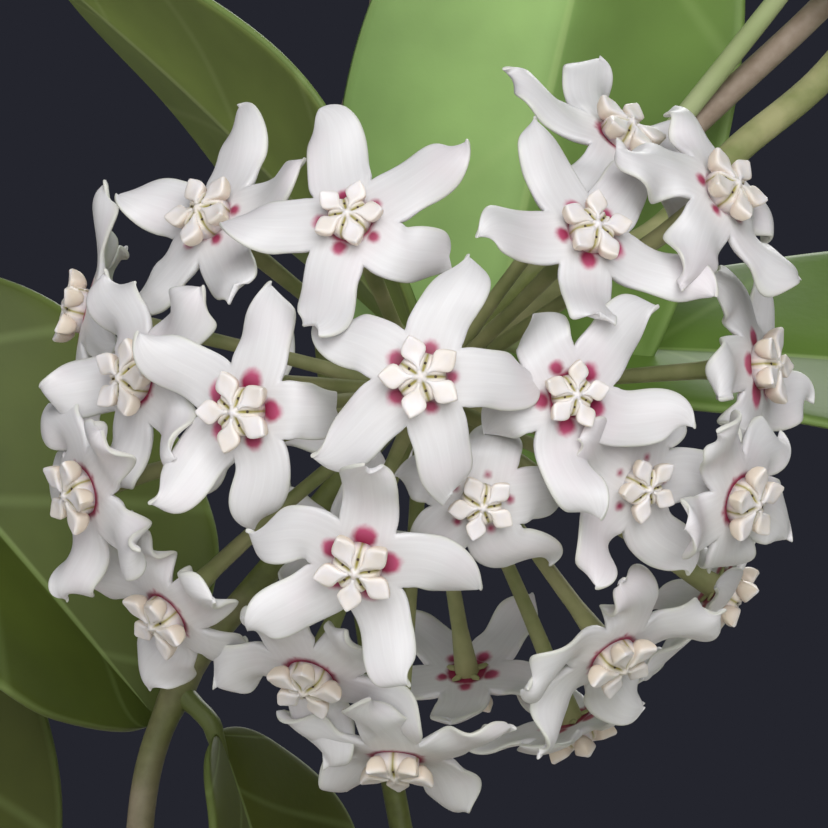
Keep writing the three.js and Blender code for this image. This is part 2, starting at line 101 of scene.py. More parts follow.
def turned(profile, steps):
    """A shape of revolution from a line of (radius, height) points that is spun round Z."""
    bm = bmesh.new()
    points = [bm.verts.new((radius, 0, height)) for radius, height in profile]
    lines = [bm.edges.new(pair) for pair in zip(points, points[1:])]
    bmesh.ops.spin(
        bm, geom=points + lines, cent=(0, 0, 0), axis=(0, 0, 1),
        angle=2 * pi, steps=steps, use_merge=True,
    )
    bmesh.ops.remove_doubles(bm, verts=bm.verts, dist=SAME_POINT)
    bmesh.ops.recalc_face_normals(bm, faces=bm.faces)
    return bm


def finish(name, bm, *materials, sharp=180):
    """Makes a piece in metres of a mesh in millimetres, smooth but for edges over `sharp` degrees."""
    bmesh.ops.scale(bm, vec=(MM, MM, MM), verts=bm.verts)
    mesh = bpy.data.meshes.new(name)
    for face in bm.faces:
        face.smooth = True
    bm.to_mesh(mesh)
    bm.free()
    mesh.set_sharp_from_angle(angle=radians(sharp))
    for material in materials:
        mesh.materials.append(material)
    made = bpy.data.objects.new(name, mesh)
    scene.collection.objects.link(made)
    return made


def linear(code):
    """An sRGB hex colour as the linear colour that a shader reads."""
    parts = [int(code[i:i + 2], 16) / 255 for i in (1, 3, 5)]
    return [p / 12.92 if p <= 0.04045 else ((p + 0.055) / 1.055) ** 2.4 for p in parts] + [1]


def per(size):
    """The scale of a pattern whose marks are `size` millimetres apart, on coordinates in metres."""
    return 1000 / size


def feed(node, sockets):
    """Sets sockets of a node to values or hex colours, or links them to nodes or their outputs."""
    for name, value in sockets.items():
        if isinstance(value, bpy.types.Node):
            value = next(output for output in value.outputs if output.enabled)
        if isinstance(value, bpy.types.NodeSocket):
            node.id_data.links.new(value, node.inputs[name])
        else:
            node.inputs[name].default_value = linear(value) if isinstance(value, str) else value


def surface(name, constants):
    """A new material with its node tree, its shader and the places, in metres, that patterns read."""
    made = bpy.data.materials.new(name)
    made.use_nodes = True
    tree = made.node_tree
    shader = tree.nodes["Principled BSDF"]
    feed(shader, constants)
    return made, tree, shader, tree.nodes.new("ShaderNodeTexCoord").outputs["Object"]


def add(tree, kind, sockets, **settings):
    """Adds a shader node with its settings, and sets or links each of the sockets given."""
    made = tree.nodes.new("ShaderNode" + kind)
    for name, value in settings.items():
        setattr(made, name, value)
    feed(made, sockets)
    return made


# Fired red clay: dull, slightly sandy, with faint throwing rings, darker where it is damp and
# chalky where salts have dried on it.
clay, tree, shader, place = surface("fired_red_earthenware", {"Roughness": 0.86, "IOR": 1.5})
blotch = add(tree, "TexNoise", {"Vector": place, "Scale": per(34), "Detail": 5})
grit = add(tree, "TexNoise", {"Vector": place, "Scale": per(1.1), "Detail": 3})
flat = add(tree, "Mapping", {"Vector": place, "Scale": (0.15, 0.15, 1)})
rings = add(tree, "TexNoise", {"Vector": flat, "Scale": per(THROWING_RING), "Detail": 2})
damp = add(tree, "MapRange", {"Value": blotch, "From Min": 0.35, "From Max": 0.62})
salty = add(tree, "MapRange", {"Value": blotch, "From Min": 0.6, "From Max": 0.78})
body = add(tree, "Mix", {0: damp, 6: "#A3603C", 7: "#BD7A54"}, data_type="RGBA")
dusty = add(tree, "Mix", {0: salty, 6: body, 7: "#D2A98C"}, data_type="RGBA")
sandy = add(tree, "MapRange", {
    "Value": grit, "From Min": 0.3, "From Max": 0.7, "To Min": 0.88, "To Max": 1.08,
})
tint = add(tree, "Mix", {0: 1.0, 6: dusty, 7: sandy}, data_type="RGBA", blend_type="MULTIPLY")
low = add(tree, "Bump", {"Height": rings, "Distance": 0.35 * MM, "Strength": 0.5})
fine = add(tree, "Bump", {"Height": grit, "Distance": 0.12 * MM, "Strength": 0.5, "Normal": low})
feed(shader, {"Base Color": tint, "Normal": fine})

shoulder = POT_HEIGHT - RIM_HEIGHT
pot = finish("clay_pot", turned([
    (0, 0), (FOOT_RADIUS, 0), (BODY_RADIUS, shoulder), (RIM_RADIUS, shoulder),
    (RIM_RADIUS, POT_HEIGHT), (MOUTH_RADIUS, POT_HEIGHT), (FOOT_RADIUS - POT_WALL, POT_FLOOR),
    (0, POT_FLOOR),
], POT_STEPS), clay, sharp=35)


def modify(piece, kind, **settings):
    """Adds a modifier to a piece."""
    made = piece.modifiers.new(kind.lower(), kind)
    for name, value in settings.items():
        setattr(made, name, value)


drill = bmesh.new()
for hole in range(DRAIN_HOLES):
    turn = Matrix.Rotation(2 * pi * hole / DRAIN_HOLES, 4, "Z")
    bmesh.ops.create_cone(
        drill, cap_ends=True, segments=32, radius1=DRAIN_RADIUS, radius2=DRAIN_RADIUS,
        depth=4 * POT_FLOOR, matrix=turn @ Matrix.Translation((DRAIN_CIRCLE, 0, 0)),
    )
drill = finish("drill", drill)
crease = radians(POT_CREASE)
modify(pot, "BOOLEAN", object=drill)
modify(pot, "BEVEL", width=POT_EDGE * MM, segments=3, limit_method="ANGLE", angle_limit=crease)
made = bpy.data.meshes.new_from_object(pot.evaluated_get(bpy.context.evaluated_depsgraph_get()))
pot.modifiers.clear()
pot.data = made
bpy.data.objects.remove(drill)
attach(pot, "root")
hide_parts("pot")

# ---- The soil ----
# Potting mix of dark peat, bark chips and white perlite, poured in round the stems and settled to
# a low mound under the rim.

SOIL_TOP = 100
SOIL_MOUND = 3
SOIL_RIPPLE = 0.9
RIPPLE_ACROSS = 5
RIPPLE_DEEP = 6
SOIL_GAP = 0.3
SOIL_RINGS = 46
SOIL_STEPS = 128
CRUMB_HEIGHT = 1.5
CRUMB_SIZE = 4.5
CHIPS = 300
PERLITE = 90
LUMP_MARGIN = 3  # mm that the lumps stay off the pot's wall
LUMP_TILT = 0.5
LUMP_RISE = 0.2  # how far a lump's middle stands over the soil, as a share of its height
LUMP_DENT = 0.25


def soil_height(x, y):
    """The height of the soil's surface, with its mound, its ripple and its crumbs."""
    inward = 1 - hypot(x, y) / SOIL_EDGE
    ripple = SOIL_RIPPLE * sin(x / RIPPLE_ACROSS) * cos(y / RIPPLE_DEEP) * min(4 * inward, 1)
    crumbs = noise.fractal(Vector((x, y, 0)) / CRUMB_SIZE, 0.8, 2.1, 4) * CRUMB_HEIGHT
    return SOIL_TOP + SOIL_MOUND * inward + ripple + crumbs


SOIL_FOOT = FOOT_RADIUS - POT_WALL - SOIL_GAP
SOIL_EDGE = SOIL_FOOT + (MOUTH_RADIUS - SOIL_FOOT) * (SOIL_TOP - POT_FLOOR) / (POT_HEIGHT - POT_FLOOR)
SOIL_EDGE -= SOIL_GAP
top = [(SOIL_EDGE * (1 - ring / SOIL_RINGS), SOIL_TOP) for ring in range(SOIL_RINGS + 1)]
bm = turned([(0, POT_FLOOR + SOIL_GAP), (SOIL_FOOT, POT_FLOOR + SOIL_GAP), *top], SOIL_STEPS)
for vert in bm.verts:
    if vert.co.z > SOIL_TOP - 1:
        vert.co.z = soil_height(vert.co.x, vert.co.y)

# Moist peat, fibrous and without gloss: almost black in some clumps and warmer brown in others.
peat, tree, shader, place = surface("moist_peat", {"Roughness": 0.95, "IOR": 1.35})
clumps = add(tree, "TexNoise", {"Vector": place, "Scale": per(7), "Detail": 6})
grains = add(tree, "TexVoronoi", {"Vector": place, "Scale": per(1.6)})
warm = add(tree, "MapRange", {"Value": clumps, "From Min": 0.35, "From Max": 0.7})
tone = add(tree, "Mix", {0: warm, 6: "#241A13", 7: "#56402D"}, data_type="RGBA")
rough = add(tree, "Bump", {"Height": grains, "Distance": 0.8 * MM, "Strength": 0.7})
feed(shader, {"Base Color": tone, "Normal": rough})
soil = finish("potting_soil", bm, peat)
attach(soil, "root")
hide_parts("soil")


def mottled(name, constants, size, detail, dark, light, pits=0):
    """A material of two tones in spots `size` mm apart, with pits of a depth in the dark ones."""
    made, tree, shader, place = surface(name, constants)
    spots = add(tree, "TexNoise", {"Vector": place, "Scale": per(size), "Detail": detail})
    feed(shader, {"Base Color": add(tree, "Mix", {0: spots, 6: dark, 7: light}, data_type="RGBA")})
    if pits:
        pitted = {"Height": spots, "Distance": pits * MM, "Strength": 0.6}
        feed(shader, {"Normal": add(tree, "Bump", pitted)})
    return made


# Composted bark: dry brown flakes with a paler broken face.
bark = mottled("composted_bark", {"Roughness": 0.9, "IOR": 1.4}, 5, 4, "#3A2618", "#8A6442")

# Perlite: volcanic glass popped by heat, white, chalky and full of tiny bubbles.
perlite = mottled("popped_perlite", {"Roughness": 0.8, "IOR": 1.45}, 0.7, 2, "#B9B4A8", "#F2EFE8", 0.2)


def scattered(name, count, sizes, flatness, material, seed):
    """Small broken lumps that lie half sunk in the soil."""
    draw = random.Random(seed)
    noise.seed_set(seed)
    bm = bmesh.new()
    for _ in range(count):
        far = (SOIL_EDGE - LUMP_MARGIN) * sqrt(draw.random())
        angle = draw.uniform(0, 2 * pi)
        x, y = far * cos(angle), far * sin(angle)
        size = draw.uniform(*sizes)
        tilt = Matrix.Rotation(draw.uniform(-LUMP_TILT, LUMP_TILT), 4, "X")
        turn = Matrix.Rotation(draw.uniform(0, pi), 4, "Z")
        shape = Matrix.Diagonal((size, size * draw.uniform(0.5, 0.9), size * flatness, 1))
        rest = Matrix.Translation((x, y, soil_height(x, y) + LUMP_RISE * size * flatness))
        lump = bmesh.ops.create_icosphere(
            bm, subdivisions=1, radius=0.5, matrix=rest @ tilt @ turn @ shape,
        )
        for vert in lump["verts"]:
            vert.co += noise.noise_vector(vert.co) * LUMP_DENT * size
    made = finish(name, bm, material, sharp=30)
    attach(made, "root")
    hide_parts("soil")


scattered("bark_chips", CHIPS, (1.5, 5.5), 0.4, bark, 4)
scattered("perlite_grains", PERLITE, (1.0, 2.8), 0.9, perlite, 9)

# ---- The vines ----
# Five twining stems rise from the soil. Each leaf joins its stem by a short thick petiole, at a
# slightly swollen joint. Young stems are green, and older ones turn brown and corky.

VINE_RADIUS = 1.65
VINE_TAPER = 0.3
JOINT_SWELL = 0.4
JOINT_LENGTH = 2.5
PETIOLE_RADIUS = 1.2
ROOT_DEPTH = 16
STEM_SIDES = 14
STEM_STEP = 1.6  # mm from ring to ring
PETIOLE_BEND = 0.35  # how sharply a petiole turns under its blade
PETIOLE_END = 0.09  # how far into the blade it runs, as a share of the blade's length
WOOD_LOW = 200  # mm up: stems turn slowly to wood from here down
WOOD_HIGH = 228  # mm up: the oldest wood arches over the flower head above this
LEAF_FOLD = 0.25


def leaf_of(joint, base, tip, face, width, bow, age, fold=LEAF_FOLD, contrast=0):
    """A leaf on a joint of its vine, from base to tip, that looks towards face and arches by bow;
    painted shade may darken one half of it.
    """
    return SimpleNamespace(
        joint=joint, base=Vector(base), tip=Vector(tip), face=Vector(face),
        width=width, bow=bow, age=age, fold=fold, contrast=contrast,
    )


VINES = {
    "vine_main": {
        "root": (-24, -8),
        "points": [
            seen(140, 828, 52), seen(178, 690, 54), seen(284, 552, 54), seen(470, 332, 54),
            seen(626, 188, 52), seen(720, 101, 51), seen(828, 0, 50),
            (62, 2, 278), (60, 12, 296), (44, 18, 306), (30, 20, 305),
        ],
        "leaves": [
            leaf_of(3, seen(418, 342, 60), seen(54, -30, 84), (0.7, 0.38, 0.72), 40, 4, 0.25),
            leaf_of(3, seen(560, 350, 64), seen(1150, 400, 62), (0, -0.5, 0.87), 44, 3, 0.5),
            # Painted shade: one half of this leaf is painted darker than the other.
            leaf_of(
                10, seen(640, -260, 70), seen(465, 500, 74), (-0.5, -1, 0.1), 50, 4, 0.85, contrast=-0.3,
            ),
            leaf_of(9, (24, 26, 304), (-52, 44, 322), (0.1, -0.3, 1), 44, 9, 0.6),
            leaf_of(4, seen(800, -32, 44), (92, -40, 326), (-0.3, -0.8, 0.5), 40, 5, 0.9),
            # Painted shade: this leaf and its petiole take age 0, so they come out dark olive for the
            # shadow they hang in.
            leaf_of(1, seen(215, 735, 52), seen(300, 1120, 60), (0.85, -0.4, 0.3), 40, 4, 0.0),
        ],
    },
    "vine_left": {
        "root": (-38, 18),
        "points": [(-50, 18, 138), (-74, 14, 182), (-92, 8, 222), (-98, 8, 250)],
        "leaves": [
            leaf_of(2, seen(-220, 300, 62), seen(155, 722, 62), (0.52, -0.74, 0.41), 47, 3, 0.08, 0.53),
            leaf_of(1, seen(-172, 440, 82), seen(-30, 988, 84), (-0.3, -0.9, 0.2), 40, 3, 0.0),
            leaf_of(1, (-92, 10, 192), (-166, 4, 168), (-0.2, -0.3, 0.9), 44, 8, 0.5),
            leaf_of(3, (-104, 14, 258), (-160, 30, 306), (0.5, -0.4, 0.7), 42, 6, 0.7),
            leaf_of(3, (-92, 18, 260), (-50, 52, 316), (-0.5, -0.6, 0.5), 42, 6, 0.6),
        ],
    },
    "vine_right": {
        "root": (38, 12),
        "points": [(52, 18, 138), (76, 26, 176), (98, 28, 212), (108, 24, 244)],
        "leaves": [
            leaf_of(1, (88, 20, 184), (150, -16, 160), (0.2, -0.3, 0.9), 44, 8, 0.5),
            leaf_of(1, (82, 42, 184), (90, 114, 160), (0.1, 0.3, 0.9), 44, 8, 0.4),
            leaf_of(2, (108, 30, 222), (176, 40, 214), (0.2, -0.4, 0.9), 44, 8, 0.6),
            leaf_of(3, (112, 20, 252), (140, -10, 316), (-0.5, -0.6, 0.4), 42, 6, 0.7),
            leaf_of(3, (104, 30, 254), (78, 70, 310), (0.4, -0.7, 0.6), 42, 6, 0.6),
        ],
    },
    "vine_back": {
        "root": (4, 40),
        "points": [(2, 58, 138), (-6, 70, 184), (-12, 70, 236), (-4, 62, 268)],
        "leaves": [
            leaf_of(0, (-12, 72, 146), (-72, 104, 122), (-0.2, 0.3, 0.9), 44, 8, 0.3),
            leaf_of(0, (6, 76, 146), (14, 146, 120), (0, 0.4, 0.9), 44, 8, 0.4),
            leaf_of(2, (-4, 80, 242), (22, 146, 250), (-0.1, 0.3, 0.9), 42, 8, 0.5),
            leaf_of(3, (2, 66, 277), (40, 92, 326), (-0.4, 0.5, 0.7), 42, 6, 0.8),
            leaf_of(3, (-11, 64, 277), (-56, 96, 314), (0.4, 0.5, 0.7), 42, 6, 0.7),
        ],
    },
    "vine_front": {
        "root": (24, -36),
        "points": [(34, -50, 128), (46, -68, 140), (56, -88, 132), (60, -100, 108)],
        "leaves": [
            leaf_of(1, (34, -72, 138), (-24, -104, 124), (-0.1, -0.5, 0.9), 42, 7, 0.5),
            leaf_of(1, (58, -62, 144), (118, -58, 140), (0.1, -0.3, 0.9), 42, 7, 0.6),
            leaf_of(3, (54, -106, 100), (20, -116, 38), (-0.2, -1, 0.3), 42, 6, 0.4),
            leaf_of(3, (68, -102, 100), (106, -96, 52), (0.4, -0.9, 0.3), 40, 6, 0.5),
        ],
    },
}


def smooth_line(knots, step):
    """Points about `step` apart on a centripetal curve through the knots."""
    knots = [Vector(knot) for knot in knots]
    knots = [2 * knots[0] - knots[1], *knots, 2 * knots[-1] - knots[-2]]
    line = []
    for a, b, c, d in zip(knots, knots[1:], knots[2:], knots[3:]):
        before, here, after = (b - a).length ** 0.5, (c - b).length ** 0.5, (d - c).length ** 0.5
        leave = ((b - a) / before - (c - a) / (before + here) + (c - b) / here) * here
        arrive = ((c - b) / here - (d - b) / (here + after) + (d - c) / after) * here
        count = max(round((c - b).length / step), 2)
        for i in range(count):
            t = i / count
            line.append(
                b + leave * t + (3 * (c - b) - 2 * leave - arrive) * t ** 2
                + (2 * (b - c) + leave + arrive) * t ** 3
            )
    return line + [knots[-2]]


def add_stem(bm, line, radii, sides):
    """A round stem: a ring that is extruded from point to point of a line, and closed at both ends."""
    heading = [(b - a).normalized() for a, b in zip(line[:1] + line, line[1:] + line[-1:])]
    turn = Vector((0, 0, 1)).rotation_difference(heading[0])
    ring = bmesh.ops.create_circle(
        bm, segments=sides, radius=radii[0], cap_ends=True,
        matrix=Matrix.Translation(line[0]) @ turn.to_matrix().to_4x4(),
    )["verts"]
    rim = {edge for vert in ring for edge in vert.link_edges}
    for i in range(1, len(line)):
        grown = bmesh.ops.extrude_edge_only(bm, edges=list(rim))["geom"]
        ring = [part for part in grown if isinstance(part, bmesh.types.BMVert)]
        edges = [part for part in grown if isinstance(part, bmesh.types.BMEdge)]
        rim = {edge for edge in edges if all(vert in ring for vert in edge.verts)}
        turn = heading[i - 1].rotation_difference(heading[i]).to_matrix()
        shape = Matrix.Scale(radii[i] / radii[i - 1], 3) @ turn
        bmesh.ops.transform(
            bm, verts=ring,
            matrix=Matrix.Translation(line[i]) @ shape.to_4x4() @ Matrix.Translation(-line[i - 1]),
        )
    bmesh.ops.contextual_create(bm, geom=list(rim))


# Hoya stem: a smooth green skin that turns olive, then grey-brown in patches as cork forms.
bark_skin, tree, shader, place = surface("hoya_stem_skin", {"Roughness": 0.55, "IOR": 1.42})
patches = add(tree, "TexNoise", {"Vector": place, "Scale": per(26), "Detail": 3})
specks = add(tree, "TexNoise", {"Vector": place, "Scale": per(1.5), "Detail": 3})
woody = add(tree, "Attribute", {}, attribute_name="woody").outputs["Fac"]
corky = add(tree, "Math", {0: patches, 1: woody}, operation="ADD")
corky = add(tree, "MapRange", {"Value": corky, "From Min": 0.75, "From Max": 0.95})
green = add(tree, "Mix", {0: specks, 6: "#4C5228", 7: "#767F44"}, data_type="RGBA")
brown = add(tree, "Mix", {0: specks, 6: "#7E6A57", 7: "#B0A092"}, data_type="RGBA")
tone = add(tree, "Mix", {0: corky, 6: green, 7: brown}, data_type="RGBA")
skin = add(tree, "Bump", {"Height": specks, "Distance": 0.12 * MM, "Strength": 0.5})
feed(shader, {"Base Color": tone, "Normal": skin})

# Petiole: the same skin, fresher and more even, as it never turns to cork.
petiole_skin, tree, shader, place = surface("hoya_petiole_skin", {"Roughness": 0.45, "IOR": 1.42})
patches = add(tree, "TexNoise", {"Vector": place, "Scale": per(9), "Detail": 3})
young = add(tree, "Attribute", {}, attribute_name="woody").outputs["Fac"]
old = add(tree, "Mix", {0: patches, 6: "#4A5228", 7: "#6E7A40"}, data_type="RGBA")
new = add(tree, "Mix", {0: patches, 6: "#93A566", 7: "#C2CA9E"}, data_type="RGBA")
tone = add(tree, "Mix", {0: young, 6: old, 7: new}, data_type="RGBA")
feed(shader, {"Base Color": tone})


LEAF_FULLNESS = 0.52  # the lower, the blunter a leaf's two ends
LEAF_POINT = 0.86  # how far along a leaf its short drawn-out point begins
LEAF_ROLL = 0.12
LEAF_WAVE = 1.1
MIDRIB_CREASE = 0.4
MIDRIB_WIDTH = 0.06  # as a share of half the blade


def leaf_outline(way):
    """A leaf's breadth from base to tip, as a share of its width: broadest past its middle."""
    point = max((way - LEAF_POINT) / (1 - LEAF_POINT), 0)
    return (4 * way * (1 - way)) ** LEAF_FULLNESS * (0.88 + 0.24 * way) * (1 - 0.3 * point)


def leaf_point(leaf, way, side):
    """A point of a leaf's blade: way from 0 at its base to 1 at its tip, side from -1 to 1."""
    chord = leaf.tip - leaf.base
    face = (leaf.face - chord * (leaf.face.dot(chord) / chord.length_squared)).normalized()
    control = leaf.base.lerp(leaf.tip, 0.45) + face * leaf.bow
    middle = leaf.base.lerp(control, way).lerp(control.lerp(leaf.tip, way), way)
    forward = (control - leaf.base).lerp(leaf.tip - control, way).normalized()
    across = face.cross(forward).normalized()
    up = forward.cross(across)
    half = 0.5 * leaf.width * leaf_outline(way)
    fold = (leaf.fold * abs(side) - LEAF_ROLL * side ** 2) * half
    ends = min(8 * way * (1 - way), 1)
    wave = LEAF_WAVE * abs(side) * sin(9 * way + 2 * side + leaf.width) * ends
    crease = MIDRIB_CREASE * exp(-((side / MIDRIB_WIDTH) ** 2)) * ends
    return middle + across * (side * half) + up * (fold + wave - crease)


for name, vine in VINES.items():
    x, y = vine["root"]
    rooted = [(x, y, SOIL_TOP - ROOT_DEPTH), (x, y, SOIL_TOP - 5), (x, y, SOIL_TOP + 7)]
    line = smooth_line(rooted + vine["points"], STEM_STEP)
    joints = [Vector(vine["points"][leaf.joint]) for leaf in vine["leaves"]]
    radii = []
    for i, point in enumerate(line):
        near = min((point - joint).length for joint in joints)
        swell = JOINT_SWELL * exp(-((near / JOINT_LENGTH) ** 2))
        radii.append(VINE_RADIUS - VINE_TAPER * i / (len(line) - 1) + swell)
    bm = bmesh.new()
    tone = bm.verts.layers.float.new("woody")
    add_stem(bm, line, radii, STEM_SIDES)
    old = set(bm.verts)
    for vert in old:
        aged = min((vert.co.z - WOOD_HIGH) / 30, 0.6)
        vert[tone] = max(aged, min((WOOD_LOW - vert.co.z) / 60, 0.3), 0)
    for leaf, start in zip(vine["leaves"], joints):
        inside = leaf_point(leaf, PETIOLE_END, 0)
        bend = leaf.base - PETIOLE_BEND * (inside - leaf.base)
        line = smooth_line([start, bend, leaf.base, inside], STEM_STEP)
        ways = [i / (len(line) - 1) for i in range(len(line))]
        radii = [PETIOLE_RADIUS * (1.25 - 0.3 * min(4 * way, 1) - 0.45 * way ** 6) for way in ways]
        known = set(bm.verts)
        add_stem(bm, line, radii, STEM_SIDES)
        for vert in set(bm.verts) - known:
            # A petiole takes its leaf's age, so it shares any painted shade given through that age.
            vert[tone] = leaf.age
    bmesh.ops.recalc_face_normals(bm, faces=bm.faces)
    for face in bm.faces:
        face.material_index = 0 if face.verts[0] in old else 1
    stems = finish(name + "_stems", bm, bark_skin, petiole_skin, sharp=60)
    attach(stems, "root")
    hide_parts(name)

# ---- The leaves ----
# Thick oval leaves with a waxy skin. Each is folded a little along its pale midrib and waved at
# its edge. Young leaves are pale, and old ones dark and olive. Painted shade darkens one half of one
# leaf, and one low leaf is painted dark olive all over for the shade it hangs in.

LEAF_THICKNESS = 1.2
LEAF_COLUMNS = 20
LEAF_ROWS = 34
SIDE_VEINS = 8
VEIN_SLANT = 1.6  # how far along the leaf a side vein runs on its way to the edge, in vein spacings
MIDDLE_DRAW = 1.25  # draws the blade's columns in towards its midrib


def leaf_skin(name, pale, mid, dark, rib, gloss):
    """A leaf's skin, mixed by the leaf's age and its painted shade, with its veins drawn on the blade's
    own map.
    """
    made, tree, shader, place = surface(name, {
        "Roughness": gloss, "IOR": 1.45, "Specular IOR Level": 0.35,
        "Subsurface Weight": 0.08, "Subsurface Radius": (0.6, 1.0, 0.3), "Subsurface Scale": MM,
    })
    plan = add(tree, "SeparateXYZ", {"Vector": place.node.outputs["UV"]})
    side = add(tree, "Math", {0: plan.outputs["X"], 1: 0.5}, operation="SUBTRACT")
    side = add(tree, "Math", {0: side, 1: 0.0}, operation="ABSOLUTE")
    # The leaf's age, with painted shade that darkens one half of one leaf.
    age = add(tree, "Attribute", {}, attribute_name="youth_and_painted_shade").outputs["Fac"]
    old = add(tree, "MapRange", {"Value": age, "From Min": 0.0, "From Max": 0.5})
    young = add(tree, "MapRange", {"Value": age, "From Min": 0.5, "From Max": 1.0})
    tone = add(tree, "Mix", {0: old, 6: dark, 7: mid}, data_type="RGBA")
    tone = add(tree, "Mix", {0: young, 6: tone, 7: pale}, data_type="RGBA")
    clouds = add(tree, "TexNoise", {"Vector": place, "Scale": per(18), "Detail": 3})
    shade = add(tree, "MapRange", {
        "Value": clouds, "From Min": 0.3, "From Max": 0.7, "To Min": 0.8, "To Max": 1.15,
    })
    tone = add(tree, "Mix", {0: 1.0, 6: tone, 7: shade}, data_type="RGBA", blend_type="MULTIPLY")
    slope = -2 * VEIN_SLANT / SIDE_VEINS
    slant = add(tree, "Math", {0: side, 1: slope, 2: plan.outputs["Y"]}, operation="MULTIPLY_ADD")
    count = add(tree, "Math", {0: slant, 1: SIDE_VEINS}, operation="MULTIPLY")
    saw = add(tree, "Math", {0: count, 1: 1.0}, operation="PINGPONG")
    vein = add(tree, "MapRange", {
        "Value": saw, "From Min": 0.12, "From Max": 0.0, "To Max": 0.12,
    }, interpolation_type="SMOOTHSTEP")
    tone = add(tree, "Mix", {0: vein, 6: tone, 7: rib}, data_type="RGBA")
    middle = add(tree, "MapRange", {
        "Value": side, "From Min": 0.03, "From Max": 0.01, "To Max": 0.36,
    }, interpolation_type="SMOOTHSTEP")
    tone = add(tree, "Mix", {0: middle, 6: tone, 7: rib}, data_type="RGBA")
    margin = add(tree, "MapRange", {"Value": side, "From Min": 0.48, "From Max": 0.5, "To Max": 0.2})
    tone = add(tree, "Mix", {0: margin, 6: tone, 7: rib}, data_type="RGBA")
    pebble = add(tree, "TexNoise", {"Vector": place, "Scale": per(0.9), "Detail": 2})
    grain = add(tree, "Bump", {"Height": pebble, "Distance": 0.05 * MM, "Strength": 0.4})
    sunken = {"Height": vein, "Distance": -0.2 * MM, "Strength": 0.6, "Normal": grain}
    feed(shader, {"Base Color": tone, "Normal": add(tree, "Bump", sunken)})
    return made


# Upper skin: waxy and satin. Under skin: paler, duller and greyer.
leaf_top = leaf_skin("waxy_leaf_upper_skin", "#97B96F", "#617D36", "#525B22", "#B4CC84", 0.55)
leaf_under = leaf_skin("waxy_leaf_under_skin", "#A3B97F", "#84974C", "#5A6430", "#B4C088", 0.65)

for name, vine in VINES.items():
    for number, leaf in enumerate(vine["leaves"], 1):
        bm = bmesh.new()
        bm.loops.layers.uv.new("plan")
        youth_and_painted_shade = bm.verts.layers.float.new("youth_and_painted_shade")
        bmesh.ops.create_grid(bm, x_segments=LEAF_COLUMNS, y_segments=LEAF_ROWS, size=1, calc_uvs=True)
        for vert in bm.verts:
            side = copysign(abs(vert.co.x) ** MIDDLE_DRAW, vert.co.x)
            way = 0.5 - 0.5 * cos(pi * (vert.co.y + 1) / 2)
            vert.co = leaf_point(leaf, way, side)
            # Each vertex gets its leaf's age, plus on one leaf a painted shade that darkens one half of
            # the blade.
            vert[youth_and_painted_shade] = leaf.age + leaf.contrast * tanh(6 * side)
        bmesh.ops.remove_doubles(bm, verts=bm.verts, dist=SAME_POINT)
        bmesh.ops.reverse_faces(bm, faces=bm.faces)
        blade = finish(f"{name}_leaf_{number}", bm, leaf_top, leaf_under)
        modify(blade, "SOLIDIFY", thickness=LEAF_THICKNESS * MM, offset=0, material_offset=1)
        modify(blade, "SUBSURF", levels=1, render_levels=1)
        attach(blade, "root")
        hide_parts(name)

# ---- The flower stalks ----
# Every flower stands on its own slim stalk. They all leave one small hub at the end of a thick
# stalk, which bends down from the main vine. Five tiny sepals cup the back of each flower.

HUB = seen(425, 395, 0)
HUB_RADIUS = 3.4
BALL_RADIUS = 35
LEVEL_STEP = 1.7
CROWN_HEIGHT = 1.6
STALK_RADIUS = 0.85
STALK_FLARE = 0.45
STALK_BEND = 1.6
STALK_STEPS = 16
PEDUNCLE_RADIUS = 1.6
PETALS = 5
PETAL_THICKNESS = 0.85
STALK_SIDES = 10
SEPAL_SIZE = (1.9, 0.95, 0.42)
SEPAL_OUT = 1.5
SEPAL_UNDER = 1.05
SEPAL_TILT = 0.12
STALK_SUNK = 0.15
LEAST_FACING = 0.15  # limits how far a petal's direction is stretched in a flower seen from its side

# For each flower, numbered from 1: the picture's pixel at its crown, the pixel at one petal's tip,
# and how many steps it stands out from the lowest flowers. Some are on the far side of the head.
FLOWERS = [
    ((200, 210), (235, 107), 0),
    ((347, 213), (318, 110), 2.5),
    ((421, 377), (459, 253), 4),
    ((235, 412), (268, 285), 2),
    ((122, 378), (198, 288), 1),
    ((58, 305), (97, 183), 0),
    ((68, 495), (43, 414), 2.5),
    ((155, 625), (213, 604), 1),
    ((355, 572), (380, 466), 3),
    ((305, 690), (415, 745), 0),
    ((483, 508), (553, 501), 0),
    ((577, 395), (655, 308), 2),
    ((650, 490), (735, 474), 0.6),
    ((597, 225), (533, 118), 1),
    ((630, 125), (505, 72), 0),
    ((735, 185), (800, 278), 3.5),
    ((775, 365), (758, 262), 0),
    ((755, 505), (729, 440), 2.2),
    ((622, 668), (765, 615), 0),
    ((470, 690), (420, 650), 0.5),
    ((395, 775), (468, 806), 1.5),
    ((735, 600), (765, 650), 1),
    ((580, 740), (540, 700), 2),
    ((421, 385), (465, 290), 0.5),
    ((240, 420), (268, 320), 1.5),
    ((340, 560), (362, 480), 0),
]
FAR_SIDE = (20, 22, 23, 24, 25, 26)


def sway(number, petal, kind):
    """A repeatable value between -1 and 1 for one petal of one flower."""
    return sin(12.9 * (number - 1) + 7.7 * petal + 4.1 * kind)


